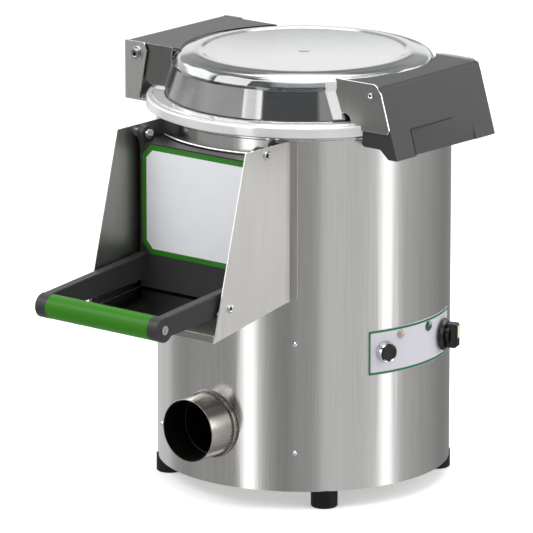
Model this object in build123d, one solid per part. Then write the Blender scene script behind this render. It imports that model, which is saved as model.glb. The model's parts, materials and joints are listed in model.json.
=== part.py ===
from build123d import *
import os
from math import atan2, cos, degrees, radians, sin, sqrt, tan

# Electric potato peeler for the kitchen bench, about 5 kg a load.  Millimetres, +Z up.
# Origin: on the drum's axis, in the standing plane.  -Y is the discharge chute, +X the lid's handle
# and the control panel, -X the lid's hinge, +Y the back.  A bearing is an angle in degrees about the
# drum's axis, counted from -Y towards +X.  A reach is a distance outside the drum's wall, a lift is
# a height above the piece below and a drop a depth under the piece above.

# Clearances
SEAM = 0.1  # between curved faces of pieces that are fastened together
RUN = 0.05  # radial, a shaft in its bearing or a pin in its hole
MOVE = 0.5  # between faces that move past each other
BITE = 1.0  # how far a rib or boss runs into the wall it stands on

# Drum casing
DRUM_R = 200.0
DRUM_WALL = 1.2
CASING_H = 487.6
RIM_BEAD = 2.0
RIM_BEAD_H = 5.0
RIM_BEAD_ROUND = 1.6
DRUM_IN = DRUM_R - DRUM_WALL

# Feet and base
FOOT_R = 18.2
FOOT_TAPER = 1.6
FOOT_H = 24.4
FOOT_INSET = 16.0
FOOT_BEARING = 47.65
FOOT_SOCKET_R = 4.25
FOOT_SOCKET_DEPTH = 9.0
FOOT_SCREW_R = 3.0
FOOT_SCREW_DEPTH = 12.0
FOOT_HEAD_R = 5.8
FOOT_HEAD_H = 4.0
BASE_T = 2.0
BASE_RIM_H = 14.0
VENT_COUNT = 16
VENT_R = 5.0
VENT_INSET = 92.0
STRUT_BEARINGS = (35.5, 144.5, 215.5, 324.5)
STRUT_HALF_ANGLE = 3.6
STRUT_T = 2.0
STRUT_DEPTH = 14.0
CASING_SCREW_LIFT = 51.6
CASING_SCREW_DROP = 21.3
DOME_R = 3.4
DOME_H = 2.2
DOME_SHANK_R = 1.9
SCREW_PROUD = 2.5  # a dome screw's end behind what it holds
BASE_TOP = FOOT_H + BASE_T
DRUM_TOP = FOOT_H + CASING_H
STRUT_LOW = BASE_TOP + BASE_RIM_H

# Peeling chamber
DECK_LIFT = 223.6
DECK_T = 3.0
DECK_RIM_H = 12.0
DECK_COLLAR_R = 17.0
DECK_COLLAR_T = 3.0
DECK_COLLAR_H = 8.0
LINER_T = 4.0
LINER_LIFT = 4.0
LINER_DROP = 36.0
DECK_Z = BASE_TOP + DECK_LIFT
DECK_TOP = DECK_Z + DECK_T
STRUT_HIGH = DECK_Z - DECK_RIM_H
LINER_TOP = DRUM_TOP - LINER_DROP
CASING_SCREW_LOW_Z = BASE_TOP + CASING_SCREW_LIFT
CASING_SCREW_HIGH_Z = DECK_Z - CASING_SCREW_DROP

# Disc
DISC_GAP = 8.8
DISC_LIFT = 15.0
DISC_T = 10.0
ABRASIVE_T = 4.0
ABRASIVE_EDGE = 4.0
WAVE_COUNT = 3
WAVE_R = 16.0
WAVE_SINK = 6.0
WAVE_START = 62.0
WAVE_EDGE = 40.0
HUB_R = 30.0
HUB_DROP = 11.0
HUB_POCKET_R = 20.0
HUB_WEB = 1.0
PADDLE_COUNT = 3
PADDLE_T = 5.0
PADDLE_DROP = 11.0
PADDLE_EDGE = 8.0
SHAFT_R = 10.0
STUD_R = 8.0
STUD_H = 9.0
CAP_NUT_R = 14.0
CAP_NUT_H = 9.0
CAP_DOME_R = 11.9
CAP_DOME_H = 7.0
CAP_NUT_ROOM = 4.0
DISC_R = DRUM_IN - DISC_GAP
DISC_Z = DECK_TOP + DISC_LIFT
DISC_TOP = DISC_Z + DISC_T
ABRASIVE_TOP = DISC_TOP + ABRASIVE_T

# Bearing housing
HOUSING_R = 32.0
HOUSING_L = 138.0
FLANGE_R = 58.0
FLANGE_T = 8.0
FLANGE_BOLTS = 4
FLANGE_BOLT_PCD_R = 46.0
FLANGE_BOLT_START = 45.0
RIB_T = 5.0
RIB_H = 52.0
RIB_EDGE = 2.0
M8_R = 4.0
M8_HEAD_R = 6.5
M8_HEAD_H = 5.3
BEARING_R = 23.5
BEARING_W = 14.0
BEARING_RACE = 4.0
SHIELD_DEPTH = 1.0
SHOULDER_T = 3.5
SEAL_T = 7.0
HOUSING_Z = DECK_Z - HOUSING_L
UPPER_BEARING_Z = DECK_Z - SEAL_T - BEARING_W

# Belt drive and motor
PULLEY_LIFT = 16.0
PULLEY_W = 16.0
DRIVEN_R = 80.0
PINION_R = 20.0
PULLEY_WEB = 6.0
PULLEY_RIM = 8.0
PULLEY_HUB_R = 18.0
SHAFT_PROUD = 4.0
GROOVE = 1.2
GROOVE_COUNT = 5
BELT_T = 3.0
BELT_W = 13.0
BELT_GAP = 0.3
MOTOR_R = 60.0
MOTOR_L = 121.0
MOTOR_BELL_H = 16.0
MOTOR_BELL_IN = 5.0
MOTOR_BELL_TAPER = 6.0
MOTOR_SHAFT_R = 7.0
FIN_COUNT = 24
FIN_T = 2.0
FIN_H = 4.0
BRACKET_T = 4.0
BRACKET_MARGIN = 4.0
POST_R = 7.0
POST_L = 33.0
POST_X = 52.0
POST_Y_STEP = 38.0
POST_NUT_H = 6.0
POST_END = 8.0
POST_ROOM = 1.0
TERMINAL_SIZE = (52.0, 74.0, 46.0)
TERMINAL_INSET = 50.0
TERMINAL_ROUND = 4.0
PULLEY_Z = BASE_TOP + PULLEY_LIFT
PULLEY_TOP = PULLEY_Z + PULLEY_W
MOTOR_Y = (DRUM_IN + HOUSING_R) / 2
MOTOR_TOP = DECK_Z - POST_L - BRACKET_T
MOTOR_Z = MOTOR_TOP - MOTOR_L
BRACKET_TOP = MOTOR_TOP + BRACKET_T
TERMINAL_X = DRUM_R - TERMINAL_INSET

# Drain and water
PIPE_R = 43.0
PIPE_WALL = 1.5
PIPE_LIFT = 5.6
PIPE_REACH = 47.0
WELD_REACH = 3.5
WELD_R = 45.5
ELBOW_R = 42.0
ELBOW_GAP = 14.0
INLET_DROP = 22.0
INLET_R = 10.48
INLET_BORE_R = 7.5
INLET_REACH = 36.0
INLET_IN = 14.0
INLET_NUT_R = 15.0
INLET_NUT_T = 7.0
NOZZLE_L = 14.0
NOZZLE_WALL = 3.0
NOZZLE_SLOT = 5.5
GLAND_BEARING = 180.0
GLAND_LIFT = 35.6
GLAND_R = 8.0
GLAND_BORE_R = 4.5
GLAND_ROOM_R = 5.5
GLAND_IN = 12.0
GLAND_NUT_R = 12.0
GLAND_NUT_T = 6.0
GLAND_CAP_R = 10.0
GLAND_CAP_STRAIGHT = 8.0
GLAND_CAP_L = 14.0
GLAND_CAP_WALL = 2.0
PIPE_Z = PULLEY_TOP + PIPE_LIFT + PIPE_R
PIPE_MOUTH_Y = -(DRUM_R + PIPE_REACH)
ELBOW_Y = -(FLANGE_R + ELBOW_GAP + PIPE_R)
INLET_Z = DRUM_TOP - INLET_DROP
GLAND_Z = BASE_TOP + GLAND_LIFT
GLAND_CAP_BASE = DRUM_R + GLAND_NUT_T

# Control panel
PANEL_START_ANGLE = 64.4
PANEL_END_ANGLE = 116.0
PANEL_DROP = 38.7
PANEL_H = 61.5
PANEL_T = 0.6
BUTTON_BEARING = 72.0
BEZEL_R = 14.75
BEZEL_H = 8.6
BEZEL_FOOT = 1.2
BEZEL_EDGE = 0.8
BEZEL_LIP = 1.4
BEZEL_SLOPE = 0.5
BUTTON_R = 11.2
BUTTON_TRAVEL = 3.0
BUTTON_HEAD = 3.6
BUTTON_EDGE = 1.0
BUTTON_DISH = 0.4
BUTTON_STEM_R = 5.0
BUTTON_STEM_L = 12.0
NECK_R = 11.0
NECK_WALL = 2.0
NECK_L = 16.0
SWITCH_SIZE = (26.0, 32.0, 30.0)
LOCK_RING_GAP = 1.4
LOCK_RING_T = 4.0
SWITCH_COLLAR_T = 3.0
LAMP_LIFT = 20.0
AMBER_BEARING = 79.4
AMBER_R = 6.0
GREEN_BEARING = 95.7
GREEN_R = 6.85
LENS_RIM = 1.2
LENS_H = 4.2
LENS_STEP = 0.5
LAMP_BARREL_R = 4.5
LAMP_BARREL_L = 24.0
TIMER_BEARING = 108.0
TIMER_DROP = 1.3
SKIRT_R = 22.0
SKIRT_T = 5.0
SKIRT_EDGE = 1.5
SKIRT_TAPER = 4.0
SKIRT_LIFT = 2.5
KNOB_NECK_R = 13.0
KNOB_NECK_H = 6.0
KNOB_BAR = (15.0, 33.0, 17.0)
KNOB_BAR_EDGE = 2.5
SPINDLE_R = 3.0
SPINDLE_L = 20.0
SPINDLE_ROOM = 1.0
TIMER_R = 21.0
TIMER_DEPTH = 34.0
TIMER_GAP = 1.6
PANEL_R = DRUM_R + SEAM + PANEL_T
PANEL_Z = DECK_Z - PANEL_DROP
LAMP_Z = PANEL_Z + LAMP_LIFT
TIMER_Z = PANEL_Z - TIMER_DROP
WALL_BACK = DRUM_IN - PANEL_R  # the wall's inside, seen from the panel's face

# Chute and the opening behind it
OPENING_HALF = 90.0
OPENING_DROP = 2.0
OPENING_STEP = 9.0
DOOR_LAP = 14.5
CHEEK_GAP = 5.6
CHEEK_T = 1.5
CHEEK_DROP = 5.0
CHEEK_TOP_REACH = 59.0
CHEEK_REAR_LIFT = 26.5
CHEEK_WELD = 8.0
LIP_REACH = 125.0
LIP_H = 10.0
FLOOR_STEP = 3.0
FLOOR_ANGLE = 5.484
FLOOR_T = 1.5
FLOOR_SIDE_H = 36.0
FLOOR_SIDE_INSET = 9.0
FLOOR_SIDE_CORNER = 8.0
CHUTE_SCREW_INSET = 33.0
CHUTE_SCREW_LIFT = 27.4
CHUTE_SCREW_HEAD_R = 5.5
CHUTE_SCREW_HEAD_H = 1.6
CHUTE_NUT_T = 2.4
CHUTE_NUT_R = 5.0
M6_R = 3.0
DOOR_HALF = OPENING_HALF + DOOR_LAP
CHEEK_IN = DOOR_HALF + CHEEK_GAP
CHEEK_X = CHEEK_IN + CHEEK_T
CHEEK_TOP = DRUM_TOP - CHEEK_DROP
CHEEK_TOP_Y = -(DRUM_R + CHEEK_TOP_REACH)
LIP_Y = -(DRUM_R + LIP_REACH)
FLOOR_REAR_Z = ABRASIVE_TOP + FLOOR_STEP
FLOOR_SLOPE = tan(radians(FLOOR_ANGLE))
FLOOR_FRONT_Z = FLOOR_REAR_Z - FLOOR_SLOPE * LIP_REACH
LIP_Z = FLOOR_FRONT_Z - LIP_H
CHEEK_REAR_Z = LIP_Z + CHEEK_REAR_LIFT
FLOOR_SIDE_Y = LIP_Y + FLOOR_SIDE_INSET
CHUTE_SCREW_Y = LIP_Y + CHUTE_SCREW_INSET
CHUTE_SCREW_Z = FLOOR_FRONT_Z + FLOOR_SLOPE * CHUTE_SCREW_INSET + CHUTE_SCREW_LIFT
OPENING_BOTTOM = FLOOR_REAR_Z - OPENING_DROP

# Door
DOOR_REACH = 20.0
DOOR_DROP = 27.0
DOOR_EDGE = 6.0
DOOR_FLOOR_GAP = 2.5
DOOR_SKIN = 4.0
GASKET_T = 2.5
GASKET_INSET = 2.0
GASKET_TAIL = 40.0
PLUG_GAP = 2.0
DOOR_LINER_T = 3.0
EAR_SET_BACK = 3.7
EAR_DROP = 15.5
EAR_R = 10.0
EAR_T = 9.5
EAR_FOOT = 16.0
PIVOT_R = 4.0
PIVOT_HEAD_R = 6.5
PIVOT_HEAD_H = 1.8
PIVOT_COLLAR_T = 2.5
PIVOT_NUT_R = 6.5
PIVOT_NUT_T = 5.0
LABEL_MARGIN = 4.5
LABEL_DROP = 2.0
LABEL_LIFT = 1.0
LABEL_CHAMFER = 15.0
LABEL_T = 0.6
DOOR_FRONT_Y = -(DRUM_R + DOOR_REACH)
DOOR_TOP = DRUM_TOP - DOOR_DROP
OPENING_TOP = DOOR_TOP - OPENING_STEP
EAR_Y = DOOR_FRONT_Y + EAR_SET_BACK
EAR_Z = DRUM_TOP - EAR_DROP
DOOR_BACK_R = DRUM_R + MOVE + GASKET_T
PLUG_HALF = OPENING_HALF - PLUG_GAP
PLUG_TOP = OPENING_TOP - PLUG_GAP
LABEL_HALF = DOOR_HALF - LABEL_MARGIN
LABEL_HIGH = DOOR_TOP - LABEL_DROP

# Door handle
GRIP_REACH = 217.5
GRIP_LIFT = 36.3
GRIP_R = 16.5
ARM_PROUD = 0.5
ARM_T = 13.5
ARM_CAP = 17.0
ARM_LONG = 60.0  # edges longer than this are rounded
ARM_ROUND = 2.0
ARM_REAR_LIFT = 34.7
ARM_REAR_DROP = 0.8
ARM_CHIN = 12.4
ARM_CHIN_DROP = 10.7
ARM_BOLT_STEP = 10.0
ARM_BOLT_L = 22.0
ARM_BOLT_ROOM = 2.0
SLEEVE_T = 3.5
SLEEVE_UNDER = 0.2
TUBE_WALL = 2.0
TUBE_PLUG_L = 20.0
GRIP_BOLT_HEAD_R = 6.2
GRIP_BOLT_HEAD_H = 4.0
GRIP_BOLT_R = 4.0
GRIP_BOLT_L = 32.0
GRIP_BOLT_PROUD = 1.2
HEX_DEPTH = 2.5
HEX_R = 2.9
ARM_X = DOOR_HALF + ARM_PROUD
GRIP_Y = -(DRUM_R + GRIP_REACH)
GRIP_Z = LIP_Z + GRIP_LIFT
ARM_REAR_TOP = GRIP_Z + ARM_REAR_LIFT
ARM_REAR_LOW = GRIP_Z - ARM_REAR_DROP
ARM_BOLT_MIDDLE = (ARM_REAR_TOP + ARM_REAR_LOW) / 2
LABEL_LOW = ARM_REAR_TOP - LABEL_LIFT

# Lid
LID_WALL = 4.0
LID_GAP = 1.8
LID_RIM_H = 17.2
LID_CONE_H = 38.0
LID_CONE_IN = 10.8
LID_CROWN_H = 21.0
LID_CROWN_OUT = 1.3
LID_BEAD_H = 4.0
LID_BASE_IN = 12.5
LID_RIM_REACH = 14.0
LID_RIM_WALL = 3.5
LID_RIM_ROUND = 6.0
LID_CROWN_ROUND = 7.0
LID_GROOVE_IN = 37.0
LID_GROOVE = 1.4
LID_GROOVE_W = 2.0
LID_DISH = 3.0
LID_FLANGE_DROP = 1.5
LID_FLANGE_STEP = 2.0
LID_GASKET_HALF = 5.0
LID_GASKET_FOOT = 3.0
LID_GASKET_EDGE = 4.0
LID_GASKET_GAP = 0.3
LID_RIM_Z = DRUM_TOP + LID_GAP
LID_BASE_Z = LID_RIM_Z + LID_RIM_H
LID_FLANGE_Z = LID_BASE_Z - LID_FLANGE_DROP
LID_NECK_Z = LID_BASE_Z + LID_CONE_H
LID_TOP = LID_NECK_Z + LID_CROWN_H
LID_RIM_R = DRUM_R + LID_RIM_REACH
LID_BASE_R = DRUM_R - LID_BASE_IN
LID_NECK_R = LID_BASE_R - LID_CONE_IN
LID_CROWN_R = LID_NECK_R + LID_CROWN_OUT
LID_GROOVE_R = LID_CROWN_R - LID_GROOVE_IN

# Lid handle
PLATE_Y = 109.0
PLATE_T = 2.0
PLATE_PROUD = 3.0
PLATE_ROUND = 9.0
PLATE_SHOULDER = 12.0
PLATE_TOE_DROP = 59.0
PLATE_TOE_H = 6.0
PLATE_TOE_OUT = 14.0
PLATE_TOE_CUT = 3.0
PLATE_RELIEF_R = 11.0
PLATE_RELIEF_OUT = 3.0
BOX_WALL = 3.0
BOX_DROP = 6.0
BOX_REACH = 14.5
BOX_FLARE = 29.0
BOX_TAIL = 24.0
BOX_ROUND = 7.0
BOX_TOE = 14.5
BOX_STEP_H = 12.2
BOX_STEP_REACH = 15.0
BOX_STEP_IN = 15.0
BOX_REAR_IN = 20.0
BOX_REAR_H = 28.0
BOX_REAR_TOP = 52.0
BOX_SWEEP = 8.0
RECESS_HALF = 65.0
RECESS_DROP = 61.0
RECESS_DEPTH = 3.4
RECESS_SLANT = 2.4
RECESS_TURN_ANGLE = 1.8
RECESS_EDGE = 4.0
HANDLE_SCREW_IN = 13.5
HANDLE_SCREW_DROP = 13.0
HANDLE_SCREW_R = 2.0
HANDLE_SCREW_HEAD_R = 4.2
HANDLE_SCREW_HEAD_H = 2.0
HANDLE_SCREW_L = 8.0
TAB_W = 10.0
TAB_DROP = 7.0
TAB_LIFT = 2.0
TAB_T = 1.5
TAB_GAP = 0.3
MAGNET_SIZE = (10.0, 24.0, 14.0)
MAGNET_DROP = 10.0
MAGNET_REACH = 4.5
SENSOR_SIZE = (10.0, 30.0, 16.0)
BOX_TOP = LID_TOP - BOX_DROP
BOX_LOW = DRUM_TOP - BOX_TAIL
BOX_TOP_X = DRUM_R + BOX_REACH
BOX_LOW_X = BOX_TOP_X + BOX_FLARE
BOX_SLOPE = BOX_FLARE / (BOX_TOP - BOX_LOW)
RECESS_TOP = BOX_TOP - RECESS_DROP
HANDLE_SCREW_X = BOX_TOP_X - HANDLE_SCREW_IN
HANDLE_SCREW_Z = BOX_TOP - HANDLE_SCREW_DROP
MAGNET_X = DRUM_R + MAGNET_REACH
MAGNET_Z = DRUM_TOP - MAGNET_DROP

# Lid hinge
HINGE_REACH = 6.0
HINGE_DROP = 17.5
HINGE_BACK_REACH = 27.0
BRACKET_Y = 107.0
BRACKET_PLATE_T = 2.5
BRACKET_PROUD = 1.0
BRACKET_TOP_IN = 6.0
BRACKET_SHOULDER_IN = 11.5
BRACKET_SHOULDER_LIFT = 6.0
BRACKET_FOOT_REACH = 3.0
SHELF_DROP = 4.0
SHELF_T = 3.0
APRON_H = 18.0
APRON_T = 4.0
APRON_HALF_ANGLE = 26.0
APRON_SCREW_ANGLE = 20.8
BACK_H = 36.0
HINGE_PIN_R = 4.0
HINGE_HEAD_R = 6.5
HINGE_HEAD_H = 4.0
HINGE_NUT_R = 7.0
HINGE_NUT_T = 6.0
WASHER_R = 10.0
WASHER_T = 1.6
FRAME_GAP = 1.5
FRAME_T = 2.0
FRAME_DROP = 2.0
FRAME_INSET = 1.0
FRAME_FOOT_IN = 14.0
FRAME_FOOT_LIFT = 1.0
FRAME_HIP_IN = 6.0
FRAME_HIP_LIFT = 25.0
FRAME_BACK_LIFT = 31.0
HINGE_X = -(DRUM_R + HINGE_REACH)
HINGE_Z = LID_TOP - HINGE_DROP
HINGE_BACK_X = -(DRUM_R + HINGE_BACK_REACH)
SHELF_Z = DRUM_TOP - SHELF_DROP
BACK_TOP = SHELF_Z + BACK_H
FRAME_TOP = LID_TOP - FRAME_DROP
FRAME_BACK_X = HINGE_BACK_X + FRAME_INSET
FRAME_OUT = BRACKET_Y - BRACKET_PLATE_T - FRAME_GAP
FRAME_IN = FRAME_OUT - FRAME_T
HINGE_NUT_SEAT = FRAME_IN - MOVE

HEX_SIDES = 6
BASE = (Align.CENTER, Align.CENTER, Align.MIN)
LOW = (Align.MIN, Align.MIN, Align.MIN)
FAR = 3.0 * DRUM_R  # long enough for any cutting tool
SKY = LID_TOP + DRUM_R  # higher than any piece

os.makedirs("parts", exist_ok=True)


# ---------------------------------------------------------------- shapes


def disc(radius, bottom, top, x=0.0, y=0.0):
    """Solid cylinder about a vertical axis."""
    return Pos(x, y, bottom) * Cylinder(radius, top - bottom, align=BASE)


def ring(outer, inner, bottom, top, x=0.0, y=0.0):
    """Tube about a vertical axis."""
    return disc(outer, bottom, top, x, y) - disc(inner, bottom, top, x, y)


def block(x_low, x_high, y_low, y_high, z_low, z_high):
    """Box between two values on each axis."""
    return Pos(x_low, y_low, z_low) * Box(x_high - x_low, y_high - y_low, z_high - z_low, align=LOW)


def around(bearing, radius):
    """X and Y of a point at a bearing."""
    return radius * sin(radians(bearing)), -radius * cos(radians(bearing))


def wedge(start, end, bottom, top):
    """Pie slice about the drum's axis between two bearings, less than 180 degrees apart."""
    corners = [(0.0, 0.0)] + [around(b, FAR) for b in (start, (start + end) / 2.0, end)]
    face = make_face(Polyline(*corners, close=True))
    return extrude(Pos(0, 0, bottom) * face, top - bottom, dir=(0, 0, 1))


def arc_plate(outer, inner, start, end, bottom, top):
    """Piece of a tube between two bearings."""
    return ring(outer, inner, bottom, top) & wedge(start, end, bottom, top)


def out(bearing, z, radius):
    """Place on the drum whose local Z points outward and local Y up."""
    x, y = around(bearing, radius)
    turn = radians(bearing)
    return Location(Plane(origin=(x, y, z), x_dir=(cos(turn), sin(turn), 0), z_dir=(sin(turn), -cos(turn), 0)))


def out_pin(bearing, z, radius, start, end):
    """Cylinder that points outward, between two distances from the drum's axis."""
    return out(bearing, z, start) * Cylinder(radius, end - start, align=BASE)


def x_pin(radius, x_low, x_high, y, z):
    """Cylinder along X."""
    return Pos(x_low, y, z) * Rot(0, 90, 0) * Cylinder(radius, x_high - x_low, align=BASE)


def y_pin(radius, y_low, y_high, x, z):
    """Cylinder along Y."""
    return Pos(x, y_low, z) * Rot(-90, 0, 0) * Cylinder(radius, y_high - y_low, align=BASE)


def outline_face(points, rounds):
    """Flat face from points, with some of its corners rounded: each round is a corner and a radius."""
    face = make_face(Polyline(*points, close=True))
    for corner, radius in rounds:
        face = fillet(face.vertices().sort_by_distance(corner)[0], radius)
    return face


def cut_x(points, x_low, x_high):
    """Plate with an outline in Y and Z, between two X values."""
    face = make_face(Polyline(*points, close=True))
    return extrude(Plane.YZ.offset(x_low) * face, x_high - x_low, dir=(1, 0, 0))


def cut_y(points, y_low, y_high, rounds=()):
    """Plate with an outline in X and Z, between two Y values."""
    plane = Plane(origin=(0, y_low, 0), x_dir=(1, 0, 0), z_dir=(0, -1, 0))
    return extrude(plane * outline_face(points, rounds), y_high - y_low, dir=(0, 1, 0))


def turned(points, rounds=()):
    """Solid of revolution about the Z axis, from points in radius and height."""
    return revolve(Plane.XZ * outline_face(points, rounds), Axis.Z)


def hexagon(radius, height):
    """Hexagonal bar on the local Z axis, with its corners at radius."""
    return extrude(RegularPolygon(radius, side_count=HEX_SIDES), height)


def dome(radius, height):
    """Low round screw head on the local Z axis, as a cap of a sphere."""
    ball = (radius * radius + height * height) / (2.0 * height)
    cap = Pos(0, 0, height - ball) * Sphere(ball)
    return cap & Cylinder(radius + height, height, align=BASE)


def group(pieces):
    """Separate solids that share one node."""
    return Compound(children=[piece.solid() for piece in pieces])


def both_sides(maker):
    """The same piece on the -X and +X sides."""
    return maker(-1), maker(1)


def side_span(side, inner, outer):
    """The two X or Y values of a plate on one side, lowest first."""
    return tuple(sorted((side * inner, side * outer)))


def x_hole(radius, side, y, z):
    """Cutter along X through everything on one side."""
    return x_pin(radius, *side_span(side, 0, FAR), y, z)


def y_hole(radius, side, x, z):
    """Cutter along Y through everything on one side."""
    return y_pin(radius, *side_span(side, 0, FAR), x, z)


def largest(shape):
    """The piece itself, without chips that a cut left loose."""
    return shape.solids().sort_by(SortBy.VOLUME)[-1]


def floor_z(y):
    """Height of the chute floor's top face."""
    return FLOOR_FRONT_Z + FLOOR_SLOPE * (y - LIP_Y)


# ---------------------------------------------------------------- casing, base and feet


def door_window(grow=0.0):
    """Cutter for the discharge opening in the front of the drum."""
    half = OPENING_HALF + grow
    return block(-half, half, -FAR, 0, OPENING_BOTTOM - grow, OPENING_TOP + grow)


def control_holes(clear=0.0):
    """Cutter for what passes through the wall at the control panel."""
    holes = out_pin(BUTTON_BEARING, PANEL_Z, NECK_R + clear, DRUM_IN / 2, FAR)
    holes += out_pin(AMBER_BEARING, LAMP_Z, LAMP_BARREL_R + clear, DRUM_IN / 2, FAR)
    holes += out_pin(GREEN_BEARING, LAMP_Z, LAMP_BARREL_R + clear, DRUM_IN / 2, FAR)
    holes += out_pin(TIMER_BEARING, TIMER_Z, SPINDLE_R + SPINDLE_ROOM + clear, DRUM_IN / 2, FAR)
    return holes


def casing_screw_places():
    """Bearing and height of each dome screw that holds the casing to its struts."""
    return [(b, z) for b in STRUT_BEARINGS for z in (CASING_SCREW_LOW_Z, CASING_SCREW_HIGH_Z)]


def apron_screw_places():
    """Bearing and height of each screw through the hinge bracket's apron."""
    return [(270.0 + turn, SHELF_Z - APRON_H / 2) for turn in (-APRON_SCREW_ANGLE, 0, APRON_SCREW_ANGLE)]


def drum_casing():
    """Rolled stainless wall of the drum with its hem and all its holes."""
    wall = ring(DRUM_R, DRUM_IN, FOOT_H, DRUM_TOP)
    hem = ring(DRUM_R + RIM_BEAD, DRUM_IN, DRUM_TOP - RIM_BEAD_H, DRUM_TOP)
    hem = fillet(hem.edges().filter_by(GeomType.CIRCLE).sort_by(SortBy.RADIUS)[-2:], RIM_BEAD_ROUND)
    casing = wall + hem - door_window() - control_holes(SEAM)
    casing -= y_pin(ELBOW_R + SEAM, -FAR, 0, 0, PIPE_Z)
    casing -= out_pin(180, INLET_Z, INLET_R + SEAM, 0, FAR)
    casing -= out_pin(GLAND_BEARING, GLAND_Z, GLAND_R + SEAM, 0, FAR)
    for bearing, z in casing_screw_places() + apron_screw_places():
        casing -= out_pin(bearing, z, DOME_SHANK_R + SEAM, 0, FAR)
    return casing


def foot_places():
    """X and Y of each foot."""
    bearings = (FOOT_BEARING, 180.0 - FOOT_BEARING, 180.0 + FOOT_BEARING, 360.0 - FOOT_BEARING)
    return [around(bearing, DRUM_R - FOOT_INSET) for bearing in bearings]


def feet():
    """Four tapered rubber feet, each with a blind socket underneath for a stand's stud."""
    body = turned([(0, 0), (FOOT_R - FOOT_TAPER, 0), (FOOT_R, FOOT_TAPER), (FOOT_R, FOOT_H), (0, FOOT_H)])
    body -= disc(FOOT_SOCKET_R, 0, FOOT_SOCKET_DEPTH)
    body -= disc(FOOT_SCREW_R + SEAM, FOOT_H - FOOT_SCREW_DEPTH, FOOT_H)
    return group([Pos(x, y, 0) * body for x, y in foot_places()])


def foot_screws():
    """The four screws that hold the feet, driven from above the base plate."""
    screws = []
    for x, y in foot_places():
        screw = disc(FOOT_SCREW_R, FOOT_H - FOOT_SCREW_DEPTH, BASE_TOP)
        screw += Pos(0, 0, BASE_TOP) * hexagon(FOOT_HEAD_R, FOOT_HEAD_H)
        screws.append(Pos(x, y, 0) * screw)
    return group(screws)


def base_plate():
    """Bottom plate with an upturned rim, vents and the holes for the feet."""
    edge = DRUM_IN - SEAM
    plate = disc(edge, FOOT_H, BASE_TOP)
    plate += ring(edge, edge - BASE_T, FOOT_H, STRUT_LOW)
    for n in range(VENT_COUNT):
        x, y = around(360.0 * n / VENT_COUNT, DRUM_R - VENT_INSET)
        plate -= disc(VENT_R, 0, STRUT_LOW, x, y)
    for x, y in foot_places():
        plate -= disc(FOOT_SCREW_R + SEAM, 0, STRUT_LOW, x, y)
    return plate


def struts():
    """Four upright channels between the base rim and the deck rim."""
    edge = DRUM_IN - SEAM
    pieces = []
    for bearing in STRUT_BEARINGS:
        low, high = bearing - STRUT_HALF_ANGLE, bearing + STRUT_HALF_ANGLE
        strut = arc_plate(edge, edge - STRUT_T, low, high, STRUT_LOW, STRUT_HIGH)
        fin = degrees(STRUT_T / edge)
        for start in (low, high - fin):
            strut += arc_plate(edge, edge - STRUT_DEPTH, start, start + fin, STRUT_LOW, STRUT_HIGH)
        for z in (CASING_SCREW_LOW_Z, CASING_SCREW_HIGH_Z):
            strut -= out_pin(bearing, z, DOME_SHANK_R + SEAM, 0, FAR)
        pieces.append(strut)
    return group(pieces)


def dome_screw(bearing, z, seat, depth):
    """Dome screw driven inward from a seat, as deep as given."""
    head = out(bearing, z, seat) * dome(DOME_R, DOME_H)
    return head + out_pin(bearing, z, DOME_SHANK_R, seat - depth, seat)


def dome_screws():
    """Dome screws through the casing into the struts, and through the hinge bracket's apron."""
    casing_depth = DRUM_WALL + STRUT_T + SCREW_PROUD
    screws = [dome_screw(b, z, DRUM_R, casing_depth) for b, z in casing_screw_places()]
    seat = DRUM_R + SEAM + APRON_T
    apron_depth = APRON_T + DRUM_WALL + SCREW_PROUD
    screws += [dome_screw(b, z, seat, apron_depth) for b, z in apron_screw_places()]
    return group(screws)


# ---------------------------------------------------------------- chamber


def chamber_deck():
    """Watertight floor under the disc, with a collar for the shaft and a drain hole."""
    edge = DRUM_IN - SEAM
    deck = disc(edge, DECK_Z, DECK_TOP)
    deck += ring(edge, edge - DECK_T, STRUT_HIGH, DECK_TOP)
    deck += ring(DECK_COLLAR_R, DECK_COLLAR_R - DECK_COLLAR_T, DECK_Z, DECK_TOP + DECK_COLLAR_H)
    deck -= disc(DECK_COLLAR_R - DECK_COLLAR_T, DECK_Z, DECK_TOP)
    deck -= disc(ELBOW_R - PIPE_WALL, DECK_Z, DECK_TOP, 0, ELBOW_Y)
    for x, y in flange_bolt_places() + post_places():
        deck -= disc(M8_R + SEAM, DECK_Z, DECK_TOP, x, y)
    return deck


def chamber_liner():
    """Abrasive lining of the drum wall, open at the door."""
    edge = DRUM_IN - SEAM
    liner = ring(edge, edge - LINER_T, DECK_TOP + LINER_LIFT, LINER_TOP)
    return liner - door_window(PLUG_GAP)


def abrasive_disc():
    """Gritted top layer of the disc with its raised waves and the clearance for the nut."""
    layer = disc(DISC_R - ABRASIVE_EDGE, DISC_TOP, ABRASIVE_TOP)
    centre = ABRASIVE_TOP - WAVE_SINK
    for n in range(WAVE_COUNT):
        end = DISC_R - WAVE_EDGE
        wave = x_pin(WAVE_R, WAVE_START, end, 0, centre)
        wave += Pos(WAVE_START, 0, centre) * Sphere(WAVE_R) + Pos(end, 0, centre) * Sphere(WAVE_R)
        layer += Rot(0, 0, 360.0 * n / WAVE_COUNT) * wave
    layer -= disc(DISC_R, DISC_TOP - 2 * WAVE_R, DISC_TOP)
    return layer - disc(CAP_NUT_R + CAP_NUT_ROOM, DISC_TOP, SKY)


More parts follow.
